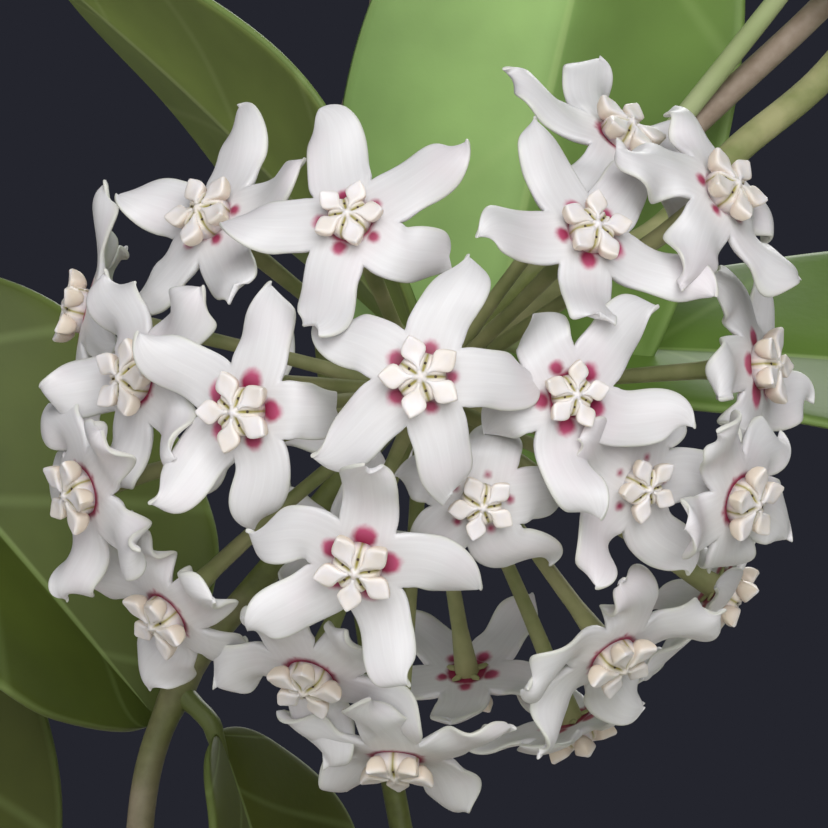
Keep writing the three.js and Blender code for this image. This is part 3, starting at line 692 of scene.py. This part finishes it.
def placed_flower(number, crown, tip, level):
    """Where a flower stands: its radius from the hub, and the directions of its axis and petals."""
    behind = number in FAR_SIDE
    radius = BALL_RADIUS + level * LEVEL_STEP
    sight = (seen(*crown, 0) - EYE).normalized()
    nearest = EYE + sight * (HUB - EYE).dot(sight)
    half = sqrt(max((radius + CROWN_HEIGHT) ** 2 - (nearest - HUB).length_squared, 0))
    axis = (nearest + sight * (half if behind else -half) - HUB).normalized()
    across, up = tip[0] - crown[0], crown[1] - tip[1]
    facing = max(axis.y if behind else -axis.y, LEAST_FACING)
    lean = (across * axis.x + up * axis.z) * (-1 if behind else 1)
    first = Vector((across * facing, lean, up * facing))
    first = (first - axis * first.dot(axis)).normalized()
    second = axis.cross(first)
    return SimpleNamespace(number=number, radius=radius, axis=axis, first=first, second=second)


flowers = [placed_flower(number, *row) for number, row in enumerate(FLOWERS, 1)]


def flower_place(flower, height):
    """The matrix that carries a shape made round Z to a flower, at a height over its face."""
    columns = Matrix((flower.first, flower.second, flower.axis)).transposed()
    return Matrix.Translation(HUB + flower.axis * (flower.radius + height)) @ columns.to_4x4()


bm = bmesh.new()
bmesh.ops.create_icosphere(bm, subdivisions=3, radius=HUB_RADIUS, matrix=Matrix.Translation(HUB))
for vert in bm.verts:
    vert.co += (vert.co - HUB) * 0.12 * noise.noise(vert.co * 0.8)
peduncle = smooth_line([
    HUB, seen(480, 350, 7), seen(560, 285, 16), seen(660, 230, 26), seen(735, 152, 34),
    seen(828, 72, 42), (57.5, -6.5, 268), (55.3, -3.9, 268.7),
], STEM_STEP)
radii = [PEDUNCLE_RADIUS * (1.1 - 0.1 * min(i / 6, 1)) for i in range(len(peduncle))]
add_stem(bm, peduncle, radii, STEM_SIDES)
for flower in flowers:
    top = flower.radius - PETAL_THICKNESS + STALK_SUNK
    start = HUB + flower.axis * HUB_RADIUS * 0.5
    bow = STALK_BEND * sway(flower.number, 0, 3)
    bend = HUB + flower.axis * top * 0.55 + flower.second * bow
    end = HUB + flower.axis * top
    line, radii = [], []
    for step in range(STALK_STEPS + 1):
        way = step / STALK_STEPS
        line.append(start.lerp(bend, way).lerp(bend.lerp(end, way), way))
        flare = STALK_FLARE * max((step - 13) / 3, 0)
        radii.append(STALK_RADIUS * (0.92 + 0.1 * cos(7 * way)) + flare)
    add_stem(bm, line, radii, STALK_SIDES)
    for sepal in range(PETALS):
        turn = Matrix.Rotation((2 * sepal + 1) * pi / PETALS, 4, "Z")
        tilt = Matrix.Translation((SEPAL_OUT, 0, 0)) @ Matrix.Rotation(SEPAL_TILT, 4, "Y")
        leafy = Matrix.Diagonal((*SEPAL_SIZE, 1))
        bmesh.ops.create_icosphere(
            bm, subdivisions=1, radius=0.5,
            matrix=flower_place(flower, -SEPAL_UNDER) @ turn @ tilt @ leafy,
        )
bmesh.ops.recalc_face_normals(bm, faces=bm.faces)

# Flower stalk: matt pale olive skin in soft paler and darker patches.
stalk_skin, tree, shader, place = surface("flower_stalk_skin", {
    "Roughness": 0.6, "IOR": 1.42,
    "Subsurface Weight": 0.1, "Subsurface Radius": (0.8, 1.0, 0.4), "Subsurface Scale": 0.8 * MM,
})
patches = add(tree, "TexNoise", {"Vector": place, "Scale": per(6), "Detail": 4})
tone = add(tree, "MapRange", {"Value": patches, "From Min": 0.35, "From Max": 0.65})
tone = add(tree, "Mix", {0: tone, 6: "#828A55", 7: "#ABA97A"}, data_type="RGBA")
feed(shader, {"Base Color": tone})
stalks = finish("flower_stalks", bm, stalk_skin, sharp=60)
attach(stalks, "root")
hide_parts("umbel_stalks")

# ---- The white stars ----
# Each flower's five petals are one thick waxy piece. They part a little under half way out, arch
# across, and their pointed tips curl back or hook to one side. Crimson stains show round the crown.

PETAL_LENGTH = 12.4
NOTCH_RADIUS = 4.9
HALF_SECTOR = pi / PETALS
NOTCH_ALONG = NOTCH_RADIUS * cos(HALF_SECTOR)
NOTCH_ACROSS = NOTCH_RADIUS * sin(HALF_SECTOR)
PETAL_ARCH = 0.7
PETAL_CURL = 1.4
CURL_SPREAD = 1
PETAL_SWEEP = 1.1
PETAL_TWIST = 0.6
TIP_SHIFT = 0.9
PETAL_WAIST = 0.12
PETAL_FULLNESS = 4.4  # the higher, the longer a petal keeps its width before it draws to its point
FULLNESS_SPREAD = 1.6
HOOK_LENGTH = 0.36  # the share of a petal's length in which its tip turns down or to one side
EDGE_WAVE = 0.45
EDGE_SHARE = 0.45  # a petal's thickness at its edge, as a share of that in its middle
TIP_REACH = 6  # mm that a tip may stand off the place that an even star would give it
TAIL_WIDTH = 0.5
TAIL_NOTCH = 1.1
PETAL_COLUMNS = 12
PETAL_ROWS = 22
JOINED_ROWS = 0.25  # the share of the rows that lies under the joined part

# Flowers that open last roll their petals' edges back. Some petals, counted from 0, end in a fish
# tail, and some are round.
ROLLED = {5: 0.8, 6: 0.8, 7: 1.2, 8: 1.2, 10: 0.8, 15: 0.5, 16: 1.3, 17: 0.7, 18: 0.7, 19: 0.9, 21: 0.9}
FISH_TAILS = {1: (3,), 2: (2, 3), 3: (3, 4), 4: (4,), 9: (0,), 14: (2,)}
ROUND_TIPS = {1: (0, 1), 2: (0,), 7: (1,), 8: (2, 3), 10: (2, 3), 15: (4,), 18: (3,), 19: (4,)}

# The picture's pixels at the tips of a flower's petals, in the order in which they go round. None
# stands for a tip that is out of sight.
TIPS = {
    1: [(238, 108), (107, 192), (130, 300), (240, 300), (298, 150)],
    2: [(318, 109), (222, 222), (303, 332), (458, 262), (464, 142)],
    3: [(470, 257), (318, 320), (312, 458), (455, 500), (538, 375)],
    4: [(272, 285), (140, 332), (151, 505), (255, 530), (333, 397)],
    5: [(200, 286), (105, 272), (28, 385), (112, 500), (163, 458)],
    6: [(105, 183), None, None, None, None],
    7: [(43, 414), None, (66, 600), (130, 545), (100, 430)],
    8: [(213, 600), (150, 542), (68, 580), (150, 690), (228, 642)],
    9: [(380, 466), (248, 532), (242, 636), (408, 690), (479, 590)],
    10: [(415, 745), (345, 628), (228, 640), (222, 730), (330, 768)],
    11: [(555, 510), (500, 440), (420, 532), (480, 575), (548, 562)],
    12: [(656, 305), (545, 322), (528, 458), (612, 518), (692, 428)],
    13: [(733, 503), (672, 437), (606, 455), (631, 598), (690, 575)],
    14: [(533, 118), (479, 238), (625, 313), (714, 297), (655, 168)],
    15: [(505, 73), None, (710, 238), (728, 147), (598, 58)],
    16: [(797, 280), None, None, None, None],
    17: [(712, 282), (718, 398), (740, 440), (808, 402), (758, 262)],
    18: [(730, 445), (690, 530), (712, 568), (787, 540), (785, 462)],
    19: [(740, 622), (603, 603), (524, 698), (549, 767), (662, 718)],
    21: [(468, 808), None, None, None, (345, 787)],
}


def on_flower(flower, x, y, height):
    """A point of a flower, with x and y measured along the ball that its face lies on."""
    reach = hypot(x, y)
    angle = reach / flower.radius
    outward = flower.radius + height
    point = HUB + flower.axis * cos(angle) * outward
    if reach > 0:
        spread = sin(angle) * outward / reach
        point += flower.first * x * spread + flower.second * y * spread
    return point


def petal_half_width(number, petal, side, free):
    """Half a petal's width on one side, from where the petals part at 0 to its tip at 1."""
    bulge = 0.1 + 0.2 * min(ROLLED.get(number, 0), 1)
    waist = 1 - PETAL_WAIST * min(4 * free, 1) + bulge * sin(pi * free ** 1.3)
    fullness = PETAL_FULLNESS + copysign(FULLNESS_SPREAD, side) * sway(number, petal, 4)
    taper = (1 - free ** fullness) ** (1.0 + 0.3 * sway(number, petal, 10))
    if petal in ROUND_TIPS.get(number, ()):
        taper = 1.1 * (1 - free ** 3) ** 0.5
    tail = TAIL_WIDTH if petal in FISH_TAILS.get(number, ()) else 0
    return NOTCH_ACROSS * waist * (tail + (1 - tail) * taper)


def petal_curve(flower, petal):
    """The four points of the curve that a petal's middle follows to its tip, and the way across it."""
    number = flower.number
    turn = 2 * pi * petal / PETALS
    along = Vector((cos(turn), sin(turn)))
    start = on_flower(flower, *(along * NOTCH_ALONG), 0)
    across = flower.second * along.x - flower.first * along.y
    up = (start - HUB).normalized()
    sweep = PETAL_SWEEP * sway(number, petal, 1)
    far = along * PETAL_LENGTH + Vector((-along.y, along.x)) * sweep
    tip = on_flower(flower, *far, -PETAL_CURL - CURL_SPREAD * sway(number, petal, 2))
    pixel = TIPS.get(number, [None] * PETALS)[petal]
    if pixel:
        sight = (seen(*pixel, 0) - EYE).normalized()
        nearest = EYE + sight * (start - EYE).dot(sight)
        depth = sqrt(max((tip - start).length_squared - (nearest - start).length_squared, 0))
        shifts = [nearest + sight * way - tip for way in (-depth, depth)]
        shift = min(shifts, key=lambda step: step.length)
        tip += shift * min(TIP_REACH / max(shift.length, 0.001), 1)
    chord = tip - start
    down = 0.8 + 0.6 * sway(number, petal, 2) + 0.4 * ROLLED.get(number, 0)
    if petal in ROUND_TIPS.get(number, ()):
        down *= 0.35
    hook = chord.normalized() - up * down + across * 0.8 * sway(number, petal, 5)
    hook *= HOOK_LENGTH * chord.length / hook.length
    return [start, start + across.cross(up) * 0.4 * chord.length, tip - hook, tip], across


def petal_point(flower, petal, curve, across, side, row):
    """A point of a petal's upper face, for a side from -1 to 1 and a row from 0 to 1."""
    if row <= JOINED_ROWS:
        along = NOTCH_ALONG * row / JOINED_ROWS
        turn = Matrix.Rotation(2 * pi * petal / PETALS, 2)
        return on_flower(flower, *(turn @ Vector((along, side * along * tan(HALF_SECTOR)))), 0)
    number = flower.number
    free = 1 - (1 - (row - JOINED_ROWS) / (1 - JOINED_ROWS)) ** 1.3
    a, b, c, d = curve
    early, late = a.lerp(b, free), c.lerp(d, free)
    middle = early.lerp(b.lerp(c, free), free).lerp(b.lerp(c, free).lerp(late, free), free)
    forward = (b - a) * (1 - free) ** 2 + (c - b) * 2 * free * (1 - free) + (d - c) * free ** 2
    forward.normalize()
    twist = Matrix.Rotation(PETAL_TWIST * sway(number, petal, 6) * free ** 2, 3, forward)
    level = twist @ (across - forward * across.dot(forward)).normalized()
    up = forward.cross(level)
    half = petal_half_width(number, petal, side, free)
    skew = TIP_SHIFT * sway(number, petal, 4) * max((free - 0.6) / 0.4, 0) ** 2 * (1 - free)
    if petal in ROUND_TIPS.get(number, ()):
        skew = 0
    loose = min(3 * free, 1)
    rolled = ROLLED.get(number, 0)
    roll = 1 + rolled
    arch = PETAL_ARCH * roll * side ** 2 * loose * half / NOTCH_ACROSS
    arch += (side * half) ** 2 / (2 * BALL_RADIUS)
    ripple = sin((6 + 3 * rolled) * free + 3 * sway(number, petal, 3))
    wave = EDGE_WAVE * roll * side * abs(side) * ripple * loose
    if petal in FISH_TAILS.get(number, ()):
        cut = 1 - abs(side) + 0.5 * (1 + side * sway(number, petal, 4))
        middle = middle - forward * free ** 6 * TAIL_NOTCH * cut
    return middle + level * (side * half + 3 * skew) + up * (wave - arch)


STAIN_ALONG = 2.75  # mm from a flower's middle to the middle of a stain
STAIN_RING = 2.4  # mm from a flower's middle to the edge of the crimson under the crown
LINE_RING = 2.85
HIDDEN_RING = 1.7
STAIN_RADIUS = 0.9  # mm, in a flower that isn't named below
LINE_RADIUS = 0.3

# How wide some flowers' stains are, in mm to each side. In lined flowers they run together into a
# thin line round the crown. In pale ones the crown hides the crimson under it.
STAIN_RADII = {
    1: 0.8, 2: 0.75, 3: 0.85, 4: 1.2, 9: 1.1, 11: 0.45, 12: 0.95, 13: 0.45, 14: 1.0, 16: 0.7, 17: 1.3,
}
LINED = (5, 7, 8, 10, 15, 18, 19, 21)
PALE = (11, 13)

# Petal wax: opaque milk white with a soft gloss, light scattered just under the skin, faint
# lengthwise streaks, painted shade in greenish grey at the edges and a crimson stain on each petal's
# axis.
wax, tree, shader, place = surface("white_petal_wax", {
    "Roughness": 0.42, "IOR": 1.44,
    "Subsurface Weight": 0.25, "Subsurface Radius": (1.0, 0.95, 0.85), "Subsurface Scale": 0.9 * MM,
})
plan = add(tree, "Attribute", {}, attribute_name="petal").outputs["Vector"]
parts = add(tree, "SeparateXYZ", {"Vector": plan})
long = add(tree, "Mapping", {"Vector": plan, "Scale": (2.6, 0.12, 0)})
streaks = add(tree, "TexNoise", {"Vector": long, "Scale": 1.0, "Detail": 3})
faint = add(tree, "MapRange", {"Value": streaks, "From Min": 0.3, "From Max": 0.7})
tone = add(tree, "Mix", {0: faint, 6: "#DAD8D9", 7: "#E2E1E2"}, data_type="RGBA")
cloud = add(tree, "TexNoise", {"Vector": place, "Scale": per(7), "Detail": 2})
pink = add(tree, "MapRange", {"Value": cloud, "From Min": 0.5, "From Max": 0.72, "To Max": 0.3})
tone = add(tree, "Mix", {0: pink, 6: tone, 7: "#E2D2D9"}, data_type="RGBA")
# Painted shade: the petals' edges are tinted a darker greenish grey.
edge = {"Value": parts.outputs["Z"], "From Min": 0.82, "From Max": 1.0, "To Max": 0.35}
edge = add(tree, "MapRange", edge)
tone = add(tree, "Mix", {0: edge, 6: tone, 7: "#CDD1B4"}, data_type="RGBA")
size = add(tree, "Attribute", {}, attribute_name="stain_radius").outputs["Fac"]
flat = add(tree, "CombineXYZ", {"X": parts.outputs["X"], "Y": parts.outputs["Y"]})
away = add(tree, "VectorMath", {0: flat, 1: (0, STAIN_ALONG, 0)}, operation="DISTANCE")
pad = add(tree, "Math", {0: size, 1: away}, operation="SUBTRACT")
reach = add(tree, "Attribute", {}, attribute_name="stain_ring").outputs["Fac"]
ring = add(tree, "VectorMath", {0: flat}, operation="LENGTH")
ring = add(tree, "Math", {0: reach, 1: ring}, operation="SUBTRACT")
both = add(tree, "Math", {0: pad, 1: ring}, operation="MAXIMUM")
patchy = add(tree, "TexNoise", {"Vector": place, "Scale": per(0.9), "Detail": 2})
inside = add(tree, "Math", {0: patchy, 1: -0.5, 2: both}, operation="MULTIPLY_ADD")
stain = {"Value": inside, "From Min": -0.5, "From Max": 0.25}
stain = add(tree, "MapRange", stain, interpolation_type="SMOOTHSTEP")
core = add(tree, "MapRange", {"Value": parts.outputs["Y"], "From Min": 3.8, "From Max": 2.4})
blush = add(tree, "Mix", {0: core, 6: "#C4587F", 7: "#8E1F46"}, data_type="RGBA")
tone = add(tree, "Mix", {0: stain, 6: tone, 7: blush}, data_type="RGBA")
ridges = add(tree, "Bump", {"Height": streaks, "Distance": 0.02 * MM, "Strength": 0.25})
feed(shader, {"Base Color": tone, "Normal": ridges})

for number, flower in enumerate(flowers, 1):
    bm = bmesh.new()
    plan = bm.verts.layers.float_vector.new("petal")
    size = bm.verts.layers.float.new("stain_radius")
    ring = bm.verts.layers.float.new("stain_ring")
    pad = LINE_RADIUS if number in LINED else STAIN_RADII.get(number, STAIN_RADIUS)
    line = LINE_RING if number in LINED else HIDDEN_RING if number in PALE else STAIN_RING
    thick = bm.verts.layers.deform.verify()
    for petal in range(PETALS):
        curve, across = petal_curve(flower, petal)
        sheet = bmesh.ops.create_grid(bm, x_segments=PETAL_COLUMNS, y_segments=PETAL_ROWS, size=1)
        for vert in sheet["verts"]:
            side, row = vert.co.x, (vert.co.y + 1) / 2
            free = max(row - JOINED_ROWS, 0) / (1 - JOINED_ROWS)
            along = NOTCH_ALONG * min(row / JOINED_ROWS, 1) + free * (PETAL_LENGTH - NOTCH_ALONG)
            spread = abs(side) * min(along * tan(HALF_SECTOR), NOTCH_ACROSS)
            margin = abs(side) * min(6 * free, 1)
            vert[plan] = (spread, along, margin)
            vert[size] = pad * (1 + 0.15 * sway(number, petal, 9))
            vert[ring] = line
            vert[thick][0] = (1 - margin ** 3) * (1 - free ** 6)
            vert.co = petal_point(flower, petal, curve, across, side, row)
    bmesh.ops.remove_doubles(bm, verts=bm.verts, dist=SAME_POINT)
    bmesh.ops.reverse_faces(bm, faces=bm.faces)
    star = finish(f"white_star_{number:02d}", bm, wax)
    star.vertex_groups.new(name="thick")
    modify(
        star, "SOLIDIFY", thickness=PETAL_THICKNESS * MM, offset=-1,
        vertex_group="thick", thickness_vertex_group=EDGE_SHARE,
    )
    modify(star, "SUBSURF", levels=1, render_levels=1)
    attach(star, "root")
    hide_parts(f"corolla_{number:02d}")

# ---- The crowns ----
# Five plump glossy lobes stand over the joins of the petals. Their narrow necks meet on top of a
# short column, with a greenish groove and a tiny dark gland between each two.

LOBE_LENGTH = 3.4
LOBE_WIDTH = 2.3
LOBE_HEIGHT = 2.6
LOBE_OUT = 2.2
LOBE_UP = 2.1
LOBE_RISE = 0.08
LOBE_NECK = 0.12
LOBE_WIDEST = 0.58
LOBE_HOLLOW = 0.22
LOBE_CROWN = 0.14  # how far the middle of its top is arched, as a share of its height
LOBE_KEEL = 0.66  # how deep its keel hangs, as a share of its height
LOBE_ASKEW = 0.06
LOBE_SIDES = 18
COLUMN_RADIUS = 2.25
COLUMN_TOP = 2.05
KNOB_HEIGHT = 0.5
KNOB_RADIUS = 0.45
COLUMN_RINGS = 12
COLUMN_STEPS = 80
GROOVE_DEPTH = 0.2
GROOVE_HALF = 0.15
GROOVE_START = 0.35
RAIL_HEIGHT = 0.14
RAIL_OFF = 0.34
RAIL_HALF = 0.12
CROWN_SUNK = 0.15
GLAND_OUT = 1.3
GLAND_DOWN = 0.3
GLAND_RADIUS = 0.16

# Some flowers that face the camera carry smaller crowns.
CROWN_SIZES = {2: 0.87, 11: 0.84, 12: 0.84, 13: 0.84, 14: 0.93}

# Crown wax: cream white with a pink breath, glossy and slightly translucent, warmer beige on the
# sides and keels of the lobes, partly their own colour and partly painted shade, and olive in the
# grooves.
cream, tree, shader, place = surface("cream_crown_wax", {
    "Roughness": 0.34, "IOR": 1.45,
    "Subsurface Weight": 0.25, "Subsurface Radius": (1.0, 0.85, 0.65), "Subsurface Scale": 0.5 * MM,
})
cloud = add(tree, "TexNoise", {"Vector": place, "Scale": per(2.5), "Detail": 2})
mild = add(tree, "MapRange", {"Value": cloud, "From Min": 0.35, "From Max": 0.6})
top = add(tree, "Mix", {0: mild, 6: "#E9E1D9", 7: "#EFEAEA"}, data_type="RGBA")
keel = add(tree, "Attribute", {}, attribute_name="keel").outputs["Fac"]
# The keel tone is partly the lobes' own warmer colour and partly painted shade on their sides and
# undersides.
tone = add(tree, "Mix", {0: keel, 6: top, 7: "#E4D6C4"}, data_type="RGBA")
groove = add(tree, "Attribute", {}, attribute_name="groove").outputs["Fac"]
tone = add(tree, "Mix", {0: groove, 6: tone, 7: "#A0964A"}, data_type="RGBA")
feed(shader, {"Base Color": tone})

# Gland: a hard dark brown speck.
gland = mottled("dark_gland", {"Roughness": 0.35, "IOR": 1.5}, 0.3, 1, "#2A1A10", "#4E3622")


def add_lobe(bm, keel, turn):
    """One lobe: a ball drawn into a kite with a narrow neck, a flat hollowed top and a keel below."""
    upright = Matrix.Rotation(pi / 2, 4, "Y")
    verts = bmesh.ops.create_uvsphere(
        bm, u_segments=LOBE_SIDES, v_segments=LOBE_SIDES, radius=1, matrix=upright,
    )["verts"]
    for vert in verts:
        way = (vert.co.x + 1) / 2
        ring = max(hypot(vert.co.y, vert.co.z), 0.001)
        sideways, upwards = vert.co.y / ring, vert.co.z / ring
        if way < LOBE_WIDEST:
            flare = max((way - LOBE_NECK) / (LOBE_WIDEST - LOBE_NECK), 0)
            breadth = 0.18 + 0.82 * flare ** 2 * (3 - 2 * flare)
        else:
            breadth = 1 - ((way - LOBE_WIDEST) / (1 - LOBE_WIDEST)) ** 1.7
        breadth *= min(3 * ring, 1)
        out = copysign(abs(sideways) ** 0.75, sideways)
        deep = (0.4 + 0.6 * breadth) * min(1.8 * ring, 1)
        # The keel value is small at the edges of the top and largest underneath: partly real colour,
        # partly painted shade.
        if upwards > 0:
            arched = LOBE_CROWN * LOBE_HEIGHT * (1 - out ** 4)
            rise = (arched - LOBE_HOLLOW * breadth * (1 - out ** 2)) * min(2 * ring, 1)
            vert[keel] = max(0.5 - 0.6 * upwards, 0)
        else:
            rise = -LOBE_KEEL * LOBE_HEIGHT * deep * max(1 - abs(sideways) ** 1.8, 0) ** 0.7
            vert[keel] = min(0.5 - 0.9 * upwards, 1)
        vert.co = Vector((vert.co.x * LOBE_LENGTH / 2, out * breadth * LOBE_WIDTH / 2, rise))
    lean = Matrix.Translation((LOBE_OUT, 0, LOBE_UP)) @ Matrix.Rotation(-LOBE_RISE, 4, "Y")
    bmesh.ops.transform(bm, verts=verts, matrix=Matrix.Rotation(turn, 4, "Z") @ lean)


for number, flower in enumerate(flowers, 1):
    bm = bmesh.new()
    keel = bm.verts.layers.float.new("keel")
    groove = bm.verts.layers.float.new("groove")
    bmesh.ops.create_uvsphere(bm, u_segments=COLUMN_STEPS, v_segments=2 * COLUMN_RINGS, radius=1)
    low = [vert for vert in bm.verts if vert.co.z < -0.1]
    bmesh.ops.delete(bm, geom=low, context="VERTS")
    for vert in bm.verts:
        angle = atan2(vert.co.y, vert.co.x)
        far = hypot(vert.co.x, vert.co.y) * COLUMN_RADIUS
        apart = (angle + HALF_SECTOR) % (2 * HALF_SECTOR) - HALF_SECTOR
        off = abs(far * sin(apart))
        open_out = min(max(far - GROOVE_START, 0) / 0.3, 1)
        cut = open_out * exp(-((off / GROOVE_HALF) ** 2))
        rail = open_out * exp(-(((off - RAIL_OFF) / RAIL_HALF) ** 2))
        vert[groove] = min(1.3 * cut, 1)
        vert[keel] = 0.5 * rail
        knob = KNOB_HEIGHT * exp(-((far / KNOB_RADIUS) ** 2))
        height = COLUMN_TOP * max(vert.co.z, 0) ** 0.3 + knob + RAIL_HEIGHT * rail - GROOVE_DEPTH * cut
        vert.co = Vector((cos(angle) * far, sin(angle) * far, height))
    bottom = [edge for edge in bm.edges if edge.is_boundary]
    bmesh.ops.contextual_create(bm, geom=bottom)
    for lobe in range(PETALS):
        add_lobe(bm, keel, (2 * lobe + 1) * HALF_SECTOR + LOBE_ASKEW * sway(number, lobe, 7))
        turn = Matrix.Rotation(2 * lobe * HALF_SECTOR, 4, "Z")
        speck = bmesh.ops.create_icosphere(
            bm, subdivisions=1, radius=GLAND_RADIUS,
            matrix=turn @ Matrix.Translation((GLAND_OUT, 0, COLUMN_TOP - GLAND_DOWN)),
        )["verts"]
        for face in {face for vert in speck for face in vert.link_faces}:
            face.material_index = 1
    shrink = Matrix.Scale(CROWN_SIZES.get(number, 1), 4)
    bmesh.ops.transform(bm, verts=bm.verts, matrix=flower_place(flower, -CROWN_SUNK) @ shrink)
    crown = finish(f"cream_crown_{number:02d}", bm, cream, gland, sharp=110)
    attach(crown, "root")
    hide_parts(f"corona_{number:02d}")

# ---- The studio ----
# A pale round table top under plain soft light: a large lamp high in front, a weaker one at the
# left, and one from behind that picks out the edges.

TABLE_RADIUS = 900
TABLE_DROP = 0.2

bm = bmesh.new()
bmesh.ops.create_circle(bm, cap_ends=True, segments=96, radius=TABLE_RADIUS)
bmesh.ops.translate(bm, vec=(0, 0, -TABLE_DROP), verts=bm.verts)
board = mottled("pale_table", {"Roughness": 0.8}, 200, 2, "#D6D4D0", "#DDDBD7")
floor = finish("floor", bm, board)

# Each lamp's place and size in mm, and its power in watts.
LAMPS = {
    "key_lamp": ((100, -800, 560), 650, 7),
    "fill_lamp": ((-700, -500, 350), 700, 1.4),
    "rim_lamp": ((250, 700, 750), 500, 5),
}
for name, (spot, size, power) in LAMPS.items():
    light = bpy.data.lights.new(name, "AREA")
    light.size = size * MM
    light.energy = power
    lamp = bpy.data.objects.new(name, light)
    lamp.location = Vector(spot) * MM
    lamp.rotation_euler = (HUB - Vector(spot)).to_track_quat("-Z", "Y").to_euler()
    scene.collection.objects.link(lamp)

world = bpy.data.worlds.new("soft_grey_room")
world.use_nodes = True
world.node_tree.nodes["Background"].inputs["Color"].default_value = linear("#24252D")
scene.world = world
